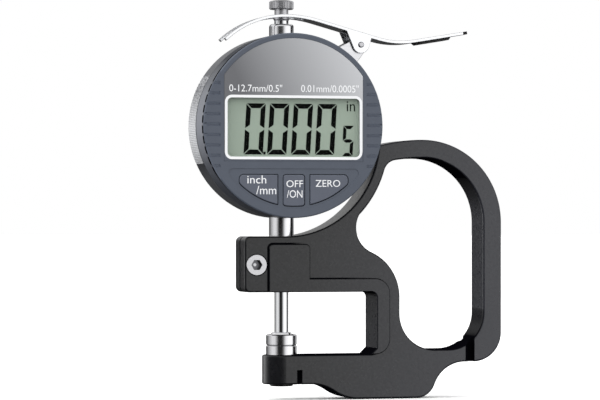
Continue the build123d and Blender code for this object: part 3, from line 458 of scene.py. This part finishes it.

# %% [markdown]
# The hand has polished the coat of the loop a shade lighter. The land down the outside of the handle is
# painted paler and its edge that looks forward nearly white, as a painted highlight. The faces that look
# back are painted a paler grey, as painted light from behind.

# %% Wear on the coat
HANDLE_X = 75
POLISH_W = 70
LAND_X = 73.2
x, y, z = place_in_mm(coat)
looks_x, looks_y, looks_z = facing(coat)
blend_colour(coat, between(x, HANDLE_X, FAR, soft=POLISH_W), (0.021, 0.022, 0.029))
# Painted highlight: the land is painted paler and its forward-looking edge nearly white.
on_land = between(x, LAND_X, FAR)
blend_colour(coat, on_land, (0.045, 0.046, 0.053))
land_edge_highlight = all_of(on_land, between(looks_y, -FAR, -0.25, soft=0.25))
blend_colour(coat, land_edge_highlight, (0.48, 0.46, 0.44))
# Painted light: the faces that look back are painted a paler grey.
back_face_light = between(looks_y, 0.7, FAR, soft=0.5)
blend_colour(coat, back_face_light, (0.022, 0.023, 0.027))
print("land from X", LAND_X, "mm outwards")

# %% [markdown]
# Shadow lies in the notch beside the nose and in the scoop at the foot of the handle, and draws a line
# along the step of the raised pad and of the rim. The pad's outline has round corners. The distance from
# its core, the rectangle that the corners' centres span, is the same all along such an outline.

# %% Shadow in the narrow places of the coat
PLATE_HALF = 6.2
NOTCH_X, NOTCH_Z = (3.65, 5.35), (-FAR, -7.9)
SCOOP_X, SCOOP_Z = (60.7, 63.8), (-6, 2.3)
PAD_MIDDLE, PAD_HALF, PAD_CORNER_R = (1.0, 21.4), (6.9, 11.4), 1.4
RIM_Z = (21.65, 21.85)
RIM_START_X, RIM_END_X = 7.9, 20
in_plate = between(maths("ABSOLUTE", y), -FAR, PLATE_HALF)
notch = all_of(between(x, *NOTCH_X), between(z, *NOTCH_Z), in_plate)
scoop = all_of(between(x, *SCOOP_X), between(z, *SCOOP_Z), in_plate)
aside, above = (
    past(maths("ABSOLUTE", maths("SUBTRACT", axis, middle)), half - PAD_CORNER_R)
    for axis, middle, half in zip((x, z), PAD_MIDDLE, PAD_HALF)
)
pad_line = between(distance(aside, above), PAD_CORNER_R - 0.02, PAD_CORNER_R + 0.4, soft=0.15)
pad_step = all_of(pad_line, between(x, -FAR, 2, soft=5))
rim_run = all_of(between(x, RIM_START_X, FAR), between(x, -FAR, RIM_END_X, soft=9))
rim_step = all_of(between(z, *RIM_Z, soft=0.12), rim_run)
print("pad:", 2 * PAD_HALF[0], "by", 2 * PAD_HALF[1], "mm")

# %% [markdown]
# Inside the loop and the throat, the walls that look up or down are black. A wall of the loop is an inner
# one when it looks towards the loop's middle. The saddle round the dial stays out, because light reaches
# it. At a glancing look a coat keeps its gloss until the last, so the shadow that creeps up from the
# loop's foot goes by a root of its height.

# %% Shadow inside the loop and the throat
DIAL_Z = 70.8
SADDLE_R = 39
LOOP_MIDDLE = (48, 30)
THROAT_X, THROAT_Z = (12, 32), (-FAR, 18)
FOOT_X, FOOT_Z = (52, 69.5), (-8, 2.5)
FOOT_ROOT = 0.2
outside_saddle = between(distance(x, maths("SUBTRACT", z, DIAL_Z)), SADDLE_R, FAR, soft=1)
steep = between(maths("ABSOLUTE", looks_z), 0.7, FAR, soft=0.55)
outwards = [
    maths("MULTIPLY", maths("SUBTRACT", axis, middle), looks)
    for axis, middle, looks in zip((x, z), LOOP_MIDDLE, (looks_x, looks_z))
]
looks_in = between(maths("ADD", *outwards), -FAR, -4, soft=4)
in_throat = all_of(between(x, *THROAT_X, soft=2), between(z, *THROAT_Z))
inside = all_of(steep, outside_saddle, any_of(looks_in, in_throat))
near_foot = all_of(between(x, *FOOT_X), between(z, *FOOT_Z, soft=9), in_plate)
loop_foot = maths("POWER", near_foot, FOOT_ROOT)
coat_shadow = any_of(notch, scoop, pad_step, rim_step, inside, loop_foot)
blend_colour(coat, coat_shadow, SHADOW)
lose_gloss(coat, coat_shadow)
print("coat:", len(coat.node_tree.nodes), "nodes")

# %% [markdown]
# ### Metals
# Turned and ground parts carry rings round the spindle axis. Noise squeezed along Z gives thin level
# rings, which change the gloss and lift the surface a little. Stampings get soft edges as well, because
# a tumbled edge shows as a thin line of light.

# %% Turned and ground metals
STAMPED_EDGE_R = 0.32


def turned_metal(name, colour, low, high, rings=60, depth_mm=0.004):
    metal = finish(name, colour, metallic=1.0, roughness=low)
    ring_value = noise(metal, scale=90, stretch=(1, 1, rings))
    vary_roughness(metal, ring_value, low, high)
    raise_surface(metal, ring_value, depth_mm, strength=0.25)
    return metal


chrome = turned_metal("polished_steel", (0.86, 0.87, 0.89), 0.07, 0.11)
satin = turned_metal("satin_steel", (0.82, 0.82, 0.84), 0.12, 0.16, 40, 0.001)
ground = turned_metal("ground_steel", (0.82, 0.82, 0.84), 0.11, 0.15, 30, 0.001)
knob_metal = turned_metal("knob_steel", (0.56, 0.56, 0.58), 0.26, 0.34, 30, 0.002)
lever_metal = turned_metal("lever_steel", (0.80, 0.81, 0.83), 0.12, 0.18)
bracket_metal = turned_metal("bracket_steel", (0.68, 0.68, 0.70), 0.20, 0.28, 30, 0.001)
rivet_metal = turned_metal("rivet_steel", (0.50, 0.50, 0.52), 0.20, 0.28, 30, 0.001)
for stamped in (lever_metal, bracket_metal, rivet_metal):
    soften_edges(stamped, STAMPED_EDGE_R)
bronze = turned_metal("bearing_bronze", (0.55, 0.36, 0.14), 0.25, 0.4)
spring_steel = turned_metal("spring_steel", (0.50, 0.50, 0.52), 0.2, 0.35)

# %% [markdown]
# Screws, the metal case and the cell are matt, with a fine grain that runs no particular way. The case is
# painted paler near its foot and darker near its crown, as painted light and painted shade.


# %% Blasted metals
def blasted_metal(name, colour, low, high, metallic=1.0):
    metal = finish(name, colour, metallic=metallic, roughness=low)
    grain = noise(metal, scale=3800, detail=4)
    vary_roughness(metal, grain, low, high)
    raise_surface(metal, grain, depth_mm=0.01, strength=0.4)
    return metal


screw_metal = blasted_metal("nickel_screw", (0.90, 0.90, 0.91), 0.24, 0.32)
cell_metal = blasted_metal("cell_can", (0.72, 0.72, 0.73), 0.2, 0.3)
contact_metal = blasted_metal("gold_contact", (0.75, 0.58, 0.24), 0.2, 0.3)
ring_metal = blasted_metal("dark_ring", (0.16, 0.17, 0.19), 0.32, 0.42, 0.9)
RING_FOOT_Z = 54
RING_CROWN_Z = 90
z = place_in_mm(ring_metal)["Z"]
# Painted light near the case's foot and painted shade near its crown.
blend_colour(ring_metal, between(z, -FAR, RING_FOOT_Z, soft=5), (0.33, 0.34, 0.37))
blend_colour(ring_metal, between(z, RING_CROWN_Z, FAR, soft=8), (0.07, 0.075, 0.09))

# %% [markdown]
# The knurled grips glitter: a noise leaves some of their points dark with dirt and paints others bright as
# glints, and a band across the middle of the patch is painted brighter as a highlight.

# %% Knurled metal
knurl_metal = blasted_metal("knurled_aluminium", (0.80, 0.81, 0.83), 0.25, 0.4, 0.5)
# Dirt between some points and painted glints on others.
dirt_and_glints = noise(knurl_metal, scale=1300, detail=2)
vary_colour(knurl_metal, dirt_and_glints, (0.06, 0.06, 0.07), (0.62, 0.63, 0.65))
HIGHLIGHT_Z = (63, 71)
z = place_in_mm(knurl_metal)["Z"]
# Painted highlight across the middle of the patch.
blend_colour(knurl_metal, between(z, *HIGHLIGHT_Z, soft=11), (0.78, 0.79, 0.81))

# %% [markdown]
# The small bevels of the two measuring faces are painted darker as shade, which draws a thin dark line
# where the faces meet. The faces themselves stay clean. The ends of the lever's tines and the end of its
# tail are painted black.

# %% Darken the lips of the anvils and the ends of the lever
LIP = 0.18
TAIL_END_X = 60.5
TINE_END_X = -20.7
z = place_in_mm(ground)["Z"]
off_face = between(maths("ABSOLUTE", facing(ground)["Z"]), -FAR, 0.95)
# Painted shade on the lips where the two measuring faces meet.
blend_colour(ground, all_of(between(z, -LIP, LIP, soft=0.06), off_face), (0.48, 0.48, 0.49))
x = place_in_mm(lever_metal)["X"]
black_ends = any_of(between(x, TAIL_END_X, FAR), between(x, -FAR, TINE_END_X))
blend_colour(lever_metal, black_ends, (0.02, 0.02, 0.022))
print("lips:", 2 * LIP, "mm high, lever black past X", TINE_END_X, "and", TAIL_END_X, "mm")

# %% [markdown]
# The socket of the clamp screw is painted dark as shade, except for a small spot in its floor that stays
# bright as a painted highlight.

# %% Darken the screw's socket
SOCKET_Y = -6.05
SCREW_AT = {"X": -9.95, "Z": 26.15}
LIT_SPOT_R = 0.6
socket_metal = blasted_metal("socket_screw", (0.62, 0.62, 0.64), 0.24, 0.32)
at = place_in_mm(socket_metal)
from_axis = distance(*(maths("SUBTRACT", at[axis], middle) for axis, middle in SCREW_AT.items()))
# Painted shade in the socket, with a painted highlight left round its axis.
socket = all_of(between(at["Y"], SOCKET_Y, FAR), between(from_axis, LIT_SPOT_R, FAR, soft=0.2))
blend_colour(socket_metal, socket, (0.14, 0.14, 0.15))

# %% [markdown]
# ### Mouldings
# The head and its cover are moulded in a blue-grey plastic with the fine matt grain of a spark-eroded
# mould. The buttons are the same plastic, a shade lighter where fingers have polished them.

# %% Mouldings
GLOSS_SPREAD = 0.06


def moulded(name, dark, light, roughness=0.5):
    plastic = finish(name, light, roughness=roughness)
    vary_colour(plastic, noise(plastic, scale=300), dark, light)
    grain = noise(plastic, scale=5200, detail=2)
    vary_roughness(plastic, grain, roughness - GLOSS_SPREAD, roughness + GLOSS_SPREAD)
    raise_surface(plastic, grain, depth_mm=0.012, strength=0.45)
    return plastic


head_plastic = moulded("head_plastic", (0.082, 0.096, 0.126), (0.088, 0.103, 0.134), 0.48)
band_plastic = moulded("band_plastic", (0.112, 0.120, 0.138), (0.124, 0.131, 0.149), 0.36)
button_plastic = moulded("button_plastic", (0.100, 0.112, 0.146), (0.108, 0.121, 0.155), 0.42)
black_plastic = moulded("black_plastic", (0.012, 0.012, 0.013), (0.020, 0.020, 0.022), 0.55)
rubber = moulded("black_rubber", (0.012, 0.012, 0.012), (0.022, 0.022, 0.022), 0.75)
silicone = moulded("grey_silicone", (0.22, 0.22, 0.21), (0.28, 0.28, 0.27), 0.6)
board = moulded("board_varnish", (0.010, 0.11, 0.04), (0.016, 0.15, 0.06), 0.3)
film = moulded("amber_film", (0.35, 0.14, 0.03), (0.45, 0.20, 0.05), 0.25)

# %% [markdown]
# The seam between the band and the cover is painted dark as shade, and the cover's small teeth break it up
# where the fingers grip. A ping-pong of the height, counted in teeth, is 0 at each tooth's middle. The
# band is painted pale at both sides as painted light, and darker towards the bottom as painted shade. Its
# top is painted dark and dull as painted shade, and there the gloss goes by a root again, as in the loop's
# foot.

# %% Darken the seam and the band
MIDDLE_TOOTH_Z = 71.0
TOOTH_PITCH = 3.3
TOOTH_HALF = 0.12
TOOTHED_Z = (56, 85)
SEAM_Y = -13.3
BAND_FOOT_Z = 50
LIT_SIDES_Z = (69, 73)
SHADED_TOP_Z = 92
DULL_ROOT = 0.4
DULL_MOST = 0.98
at = place_in_mm(band_plastic)
z = at["Z"]
# Painted shade towards the bottom of the band.
blend_colour(band_plastic, between(z, -FAR, BAND_FOOT_Z, soft=12), (0.046, 0.052, 0.068))
# Painted light at both sides of the band.
blend_colour(band_plastic, between(z, *LIT_SIDES_Z, soft=11), (0.24, 0.25, 0.28))
# Painted shade on the top of the band, which also loses gloss.
shaded_top = between(z, SHADED_TOP_Z, FAR, soft=11)
blend_colour(band_plastic, shaded_top, (0.020, 0.023, 0.030))
in_teeth = maths("DIVIDE", maths("SUBTRACT", z, MIDDLE_TOOTH_Z), TOOTH_PITCH)
tooth = between(maths("PINGPONG", in_teeth, 0.5), -FAR, TOOTH_HALF)
no_tooth = maths("SUBTRACT", 1, all_of(tooth, between(z, *TOOTHED_Z, soft=0.5)))
# Painted shade in the seam, broken by the teeth.
seam_shade = all_of(between(at["Y"], -FAR, SEAM_Y), no_tooth, between(z, TOOTHED_Z[0], FAR, soft=6))
blend_colour(band_plastic, seam_shade, SHADOW)
less_gloss = maths("MULTIPLY", maths("POWER", shaded_top, DULL_ROOT), DULL_MOST)
lose_gloss(band_plastic, any_of(seam_shade, less_gloss))
print("band:", len(band_plastic.node_tree.nodes), "nodes")

# %% [markdown]
# The cover's grooves are painted darker as shade, and their upper slopes, which look down, are painted
# lighter as painted light.

# %% Mark the grooves of the cover
GROOVE_X = (24, 28.6)
GROOVE_Y = (-15.96, -15.6)
at = place_in_mm(head_plastic)
in_groove = all_of(between(at["Y"], *GROOVE_Y), between(maths("ABSOLUTE", at["X"]), *GROOVE_X))
# Painted shade in the grooves.
blend_colour(head_plastic, in_groove, (0.060, 0.072, 0.100))
lit_upper_slope = all_of(in_groove, between(facing(head_plastic)["Z"], -FAR, -0.8, soft=1.0))
# Painted light on the slopes that look down.
blend_colour(head_plastic, lit_upper_slope, (0.170, 0.195, 0.245))
print("head:", len(head_plastic.node_tree.nodes), "nodes")

# %% [markdown]
# ### Front film
# The film on the front carries a painted sheen, a soft gradient dark at the lower left and silver at the
# upper right. A colour ramp along a slanted direction paints it, and it stays on the film whichever way
# the head is turned or seen. Outside the window's lower corners the film has the colour of the head.

# %% Front film
SLANT = (14.0, 0, 6.5)
WINDOW_HALF_W = 22.7
WINDOW_LOW_Z = 59.9
WINDOW_CORNER_R = 2.3
label = finish("front_film", (0.2, 0.2, 0.21), roughness=0.34)
label_place = label.node_tree.nodes.new("ShaderNodeTexCoord").outputs["Object"]
along = node_maker(label.node_tree)("ShaderNodeVectorMath", label_place, SLANT, operation="DOT_PRODUCT")
# Painted sheen across the film.
vary_colour(label, along, (0.140, 0.143, 0.153), (0.64, 0.65, 0.67), span=(0.30, 0.98))
corner_z = WINDOW_LOW_Z + WINDOW_CORNER_R
at = place_in_mm(label)
aside = past(maths("ABSOLUTE", at["X"]), WINDOW_HALF_W - WINDOW_CORNER_R)
below = maths("MAXIMUM", maths("SUBTRACT", corner_z, at["Z"]), 0)
past_corner = between(distance(aside, below), WINDOW_CORNER_R, FAR)
outside_corner = all_of(past_corner, between(at["Z"], -FAR, corner_z))
blend_colour(label, outside_corner, (0.085, 0.099, 0.130))
raise_surface(label, noise(label, scale=4200, detail=2), depth_mm=0.004, strength=0.3)

# %% [markdown]
# ### Display glass and window
# A liquid crystal panel is a grey-green mirror behind two polarisers. It is matt and even, and painted
# a little lighter along its edges, as painted light against the shade of the window's frame. The window
# over it is clear, and thin enough to need no refraction: it lets the panel through and keeps only a trace
# of gloss.

# %% Display glass and window
PANEL_HALF = (20.6, 8.3)
PANEL_Z = 70.1
LIT_EDGE_W = 2.2
lcd = finish("display_glass", (0.35, 0.43, 0.35), roughness=0.4)
vary_colour(lcd, noise(lcd, scale=45, detail=2), (0.345, 0.425, 0.345), (0.365, 0.445, 0.365))
raise_surface(lcd, noise(lcd, scale=5200, detail=2), depth_mm=0.002, strength=0.2)
at = place_in_mm(lcd)
off_side, off_level = (
    maths("SUBTRACT", maths("ABSOLUTE", from_middle), half)
    for from_middle, half in zip((at["X"], maths("SUBTRACT", at["Z"], PANEL_Z)), PANEL_HALF)
)
# Painted light along the panel's edges, against the shade of the window's frame.
blend_colour(lcd, between(any_of(off_side, off_level), LIT_EDGE_W, FAR, soft=2.0), (0.52, 0.63, 0.52))
window = finish("clear_window", (0.06, 0.07, 0.06), roughness=0.04)
shader_of(window).inputs["Alpha"].default_value = 0.03
vary_roughness(window, noise(window, scale=120, detail=2), 0.03, 0.06)

# %% [markdown]
# The figures are dark because the crystal swallows the light, so their ink has no gloss at all. The print
# is a thick white screen ink. The studio floor is matt paper.

# %% Inks and floor paper
ink = finish("display_ink", (0.0008, 0.001, 0.001), roughness=0.5, specular=0.0)
vary_roughness(ink, noise(ink, scale=900, detail=2), 0.45, 0.6)
white_print = finish("white_print", (0.93, 0.94, 0.95), roughness=0.45)
vary_roughness(white_print, noise(white_print, scale=1800, detail=2), 0.4, 0.5)
floor_paper = finish("pale_floor", (0.97, 0.97, 0.97), roughness=0.9, specular=0.1)
raise_surface(floor_paper, noise(floor_paper, scale=40, detail=2), depth_mm=0.01, strength=0.1)
floor.data.materials.append(floor_paper)

# %% [markdown]
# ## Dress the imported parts
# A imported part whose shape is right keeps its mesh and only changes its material.

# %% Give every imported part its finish
FINISH_OF = {
    "frame": coat,
    "lower_anvil": ground,
    "contact_anvil": ground,
    "spindle": chrome,
    "lift_knob": knob_metal,
    "stem": satin,
    "upper_guide": satin,
    "lower_bush": bronze,
    "clamp_screw": socket_metal,
    "rear_case": ring_metal,
    "back_cover": head_plastic,
    "back_cover_screws": screw_metal,
    "battery": cell_metal,
    "battery_cap": head_plastic,
    "battery_contact": contact_metal,
    "sensor_board": board,
    "ribbon_cable": film,
    "guide_pin": chrome,
    "return_spring": spring_steel,
    "carriage": black_plastic,
    "scale_plate": board,
    "lever": lever_metal,
    "lever_grip": rubber,
    "lever_bracket": bracket_metal,
    "bracket_screw": screw_metal,
    "lever_pivot_pin": rivet_metal,
    "hub_clip": spring_steel,
    "middle_case": band_plastic,
    "front_cover": head_plastic,
    "cover_screws": screw_metal,
    "face_label": label,
    "window_lens": window,
    "lcd_panel": lcd,
    "lcd_holder": black_plastic,
    "zebra_strips": silicone,
    "circuit_board": board,
    "keypad_mat": silicone,
    "unit_button": button_plastic,
    "power_button": button_plastic,
    "zero_button": button_plastic,
}
for name, material in FINISH_OF.items():
    for slot in nodes_by_name[name].material_slots:
        slot.material = material
print("dressed", len(FINISH_OF), "parts")

# %% [markdown]
# ## New pieces
# Thin print and small texture would only burden the solid model, so they are made here. Each is a
# real mesh, a few hundredths of a millimetre thick for the print and a few tenths for the knurling, and
# rides on the body that carries it.


# %% Turn a mesh under construction into a piece
def piece(name, shape, material, body):
    """Closes a bmesh, gives it a finish and lets it ride on a body."""
    bmesh.ops.remove_doubles(shape, verts=shape.verts, dist=1e-7)
    bmesh.ops.recalc_face_normals(shape, faces=shape.faces)
    mesh = bpy.data.meshes.new(name)
    shape.to_mesh(mesh)
    shape.free()
    mesh.materials.append(material)
    made = bpy.data.objects.new(name, mesh)
    scene.collection.objects.link(made)
    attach(made, body)
    print(f"{name}: {len(mesh.polygons)} faces, rides on {body}")


def thicken(shape, depth):
    """Gives flat faces that look towards -Y a thickness towards +Y."""
    lifted = bmesh.ops.extrude_face_region(shape, geom=shape.faces[:])
    verts = [part for part in lifted["geom"] if isinstance(part, bmesh.types.BMVert)]
    bmesh.ops.translate(shape, verts=verts, vec=(0, depth, 0))


# %% [markdown]
# ### Figures of the display
# Each figure has up to seven bars cut at forty-five degrees where they meet, and the whole row leans
# one unit in sixteen. The bars are drawn upright from a few corners, and a shear leans them. At half
# height the cut is flatter, and draws back by seven tenths of the bar's width.

# %% Draw one figure
BARS_OF = {"0": "abcdef", "5": "afgcd"}
CUT_BACK = 0.7


def figure(shape, text, left, low, width, height, bar, gap):
    """Adds the bars of one figure to a bmesh, upright, with its lower left corner at left, low."""
    middle = height / 2
    inner_high = middle + gap + bar * CUT_BACK
    inner_low = middle - gap - bar * CUT_BACK
    bars = {
        "a": [(gap, height), (width - gap, height),
              (width - bar - gap, height - bar), (bar + gap, height - bar)],
        "b": [(width, height - gap), (width, middle + gap),
              (width - bar, inner_high), (width - bar, height - bar - gap)],
        "c": [(width, middle - gap), (width, gap), (width - bar, bar + gap), (width - bar, inner_low)],
        "d": [(bar + gap, bar), (width - bar - gap, bar), (width - gap, 0), (gap, 0)],
        "e": [(0, middle - gap), (bar, inner_low), (bar, bar + gap), (0, gap)],
        "f": [(0, height - gap), (bar, height - bar - gap), (bar, inner_high), (0, middle + gap)],
        "g": [(gap * 2, middle), (bar, middle + bar / 2), (width - bar, middle + bar / 2),
              (width - gap * 2, middle), (width - bar, middle - bar / 2), (bar, middle - bar / 2)],
    }
    for key in BARS_OF[text]:
        corners = [shape.verts.new(((left + x) * MM, 0, (low + z) * MM)) for x, z in bars[key]]
        shape.faces.new(corners)


# %% [markdown]
# The row has four large noughts with a point after the first, and one small figure for the half step.

# %% Draw the row of figures
INK_Y = -14.39
INK_T = 0.02
LEAN = 1.0 / 16.3
ROW_LOW_Z = 61.5
LARGE = {"width": 6.35, "height": 16.3, "bar": 1.55, "gap": 0.2}
SMALL = {"width": 3.6, "height": 9.8, "bar": 1.08, "gap": 0.12}
NOUGHTS_X = (-16.25, -8.5, -0.6, 7.35)
SMALL_AT = (16.3, 61.1)
POINT = ((-9.75, 61.5), (-9.0, 61.5), (-9.0, 62.4), (-9.75, 62.4))
figures = bmesh.new()
for left in NOUGHTS_X:
    figure(figures, "0", left, ROW_LOW_Z, **LARGE)
figure(figures, "5", *SMALL_AT, **SMALL)
figures.faces.new([figures.verts.new((x * MM, 0, z * MM)) for x, z in POINT])
lean = Matrix.Identity(4)
lean[0][2] = LEAN
lean[0][3] = -LEAN * ROW_LOW_Z * MM
bmesh.ops.transform(figures, matrix=lean, verts=figures.verts)
bmesh.ops.translate(figures, verts=figures.verts, vec=(0, INK_Y * MM, 0))
thicken(figures, INK_T * MM)
piece("display_figures", figures, ink, "display_head")

# %% [markdown]
# ### Lettering
# The plain words on the buttons and the range and step above the window are printed. A text object gives
# the letters. Made into a mesh, they are scaled to the width and height of the real print and stood
# upright.

# %% Print a word
PRINT_T = 0.01


def word(name, text, across, upright, y, material, body):
    """Prints a text between two X and two Z, in millimetres, at a Y."""
    curve = bpy.data.curves.new(name, "FONT")
    curve.body = text
    curve.extrude = PRINT_T
    curve.resolution_u = 4
    holder = bpy.data.objects.new(name + "_text", curve)
    scene.collection.objects.link(holder)
    bpy.context.view_layer.update()
    flat = bpy.data.meshes.new_from_object(holder)
    bpy.data.objects.remove(holder)
    shape = bmesh.new()
    shape.from_mesh(flat)
    xs = [vert.co.x for vert in shape.verts]
    ys = [vert.co.y for vert in shape.verts]
    wide = (across[1] - across[0]) / (max(xs) - min(xs))
    tall = (upright[1] - upright[0]) / (max(ys) - min(ys))
    bmesh.ops.translate(shape, verts=shape.verts, vec=(-min(xs), -min(ys), 0))
    bmesh.ops.scale(shape, verts=shape.verts, vec=(wide * MM, tall * MM, MM))
    bmesh.ops.rotate(shape, verts=shape.verts, matrix=Matrix.Rotation(pi / 2, 3, "X"))
    bmesh.ops.translate(shape, verts=shape.verts, vec=(across[0] * MM, y * MM, upright[0] * MM))
    piece(name, shape, material, body)


# %% [markdown]
# Each word on a button rides on that button, so it goes in with it.

# %% Print the words
BUTTON_PRINT_Y = -16.11
LABEL_PRINT_Y = -15.96
BUTTON_WORDS = (
    ("print_inch", "inch", (-15.4, -9.2), (52.2, 54.75), "unit_button"),
    ("print_mm", "/mm", (-12.5, -5.9), (48.75, 51.45), "unit_button"),
    ("print_off", "OFF", (-2.55, 2.95), (51.05, 53.25), "power_button"),
    ("print_on", "/ON", (-2.4, 2.75), (47.7, 50.1), "power_button"),
    ("print_zero", "ZERO", (7.1, 15.3), (51.2, 53.4), "zero_button"),
)
LABEL_WORDS = (
    ("print_range", '0-12.7mm/0.5"', (-21.3, -3.9), (81.45, 83.75)),
    ("print_step", '0.01mm/0.0005"', (2.35, 21.5), (81.5, 83.85)),
)
for name, text, across, upright, button in BUTTON_WORDS:
    word(name, text, across, upright, BUTTON_PRINT_Y, white_print, button)
for name, text, across, upright in LABEL_WORDS:
    word(name, text, across, upright, LABEL_PRINT_Y, white_print, "display_head")
word("display_unit", "in", (17.95, 20.75), (75.55, 78.75), INK_Y, ink, "display_head")

# %% [markdown]
# ### White border of the window
# The border is printed round the window's edge. A rectangle with its corners rounded by a vertex bevel,
# inset once, leaves the border as the ring between the two outlines.

# %% Print the window's border
WINDOW_MIDDLE_Z = 70.15
BORDER_SIZE = (45.4, 20.5)
BORDER_W = 0.85
border = bmesh.new()
bmesh.ops.create_grid(border, x_segments=1, y_segments=1, size=0.5)
bmesh.ops.scale(border, verts=border.verts, vec=(BORDER_SIZE[0] * MM, BORDER_SIZE[1] * MM, 1))
bmesh.ops.bevel(
    border, geom=border.verts[:], offset=WINDOW_CORNER_R * MM, segments=10, profile=0.5,
    affect="VERTICES", material=-1,
)
bmesh.ops.rotate(border, verts=border.verts, matrix=Matrix.Rotation(pi / 2, 3, "X"))
bmesh.ops.inset_region(
    border, faces=border.faces[:], thickness=BORDER_W * MM, use_boundary=True, use_even_offset=True,
)
middle_face = max(border.faces, key=lambda face: face.calc_area())
bmesh.ops.delete(border, geom=[middle_face], context="FACES")
bmesh.ops.translate(border, verts=border.verts, vec=(0, LABEL_PRINT_Y * MM, WINDOW_MIDDLE_Z * MM))
thicken(border, PRINT_T * MM)
piece("window_border", border, white_print, "display_head")

# %% [markdown]
# ### Knurling
# The metal ring behind the head has a knurled grip on both sides: rows of small diamond points rolled
# into its rim. A flat grid turned by forty-five degrees is cut to the patch, every cell is poked up
# to a point, and the patch is bent round the rim.

# %% Roll the knurled grips
RING_R = 29.6
KNURL_PITCH = 0.8
KNURL_H = 0.22
SKIRT_H = 0.15
GRIP_Y = (-4.5, 5.2)


def knurled_grip(name, low_angle, high_angle):
    """A patch of diamond points on the ring between two angles, in degrees from +X."""
    length = radians(high_angle - low_angle) * RING_R
    width = GRIP_Y[1] - GRIP_Y[0]
    cells = int((length + width) / KNURL_PITCH)
    shape = bmesh.new()
    bmesh.ops.create_grid(shape, x_segments=cells, y_segments=cells, size=cells * KNURL_PITCH / 2)
    bmesh.ops.rotate(shape, verts=shape.verts, matrix=Matrix.Rotation(pi / 4, 3, "Z"))
    for side in (-1, 1):
        for normal, reach in (((side, 0, 0), length / 2), ((0, side, 0), width / 2)):
            bmesh.ops.bisect_plane(
                shape,
                geom=shape.verts[:] + shape.edges[:] + shape.faces[:],
                dist=1e-6,
                plane_co=Vector(normal) * reach,
                plane_no=normal,
                clear_outer=True,
            )
    bmesh.ops.poke(shape, faces=shape.faces[:], offset=KNURL_H)
    rim = [edge for edge in shape.edges if edge.is_boundary]
    skirt = bmesh.ops.extrude_edge_only(shape, edges=rim)
    dropped = [part for part in skirt["geom"] if isinstance(part, bmesh.types.BMVert)]
    bmesh.ops.translate(shape, verts=dropped, vec=(0, 0, -SKIRT_H))
    middle = radians((low_angle + high_angle) / 2)
    for vert in shape.verts:
        turn = middle + vert.co.x / RING_R
        reach = RING_R + vert.co.z
        y = vert.co.y + sum(GRIP_Y) / 2
        vert.co = Vector((reach * cos(turn), y, DIAL_Z + reach * sin(turn))) * MM
    piece(name, shape, knurl_metal, "frame_body")


knurled_grip("knurled_grip_left", 146.8, 204.1)
knurled_grip("knurled_grip_right", -24.1, 33.2)
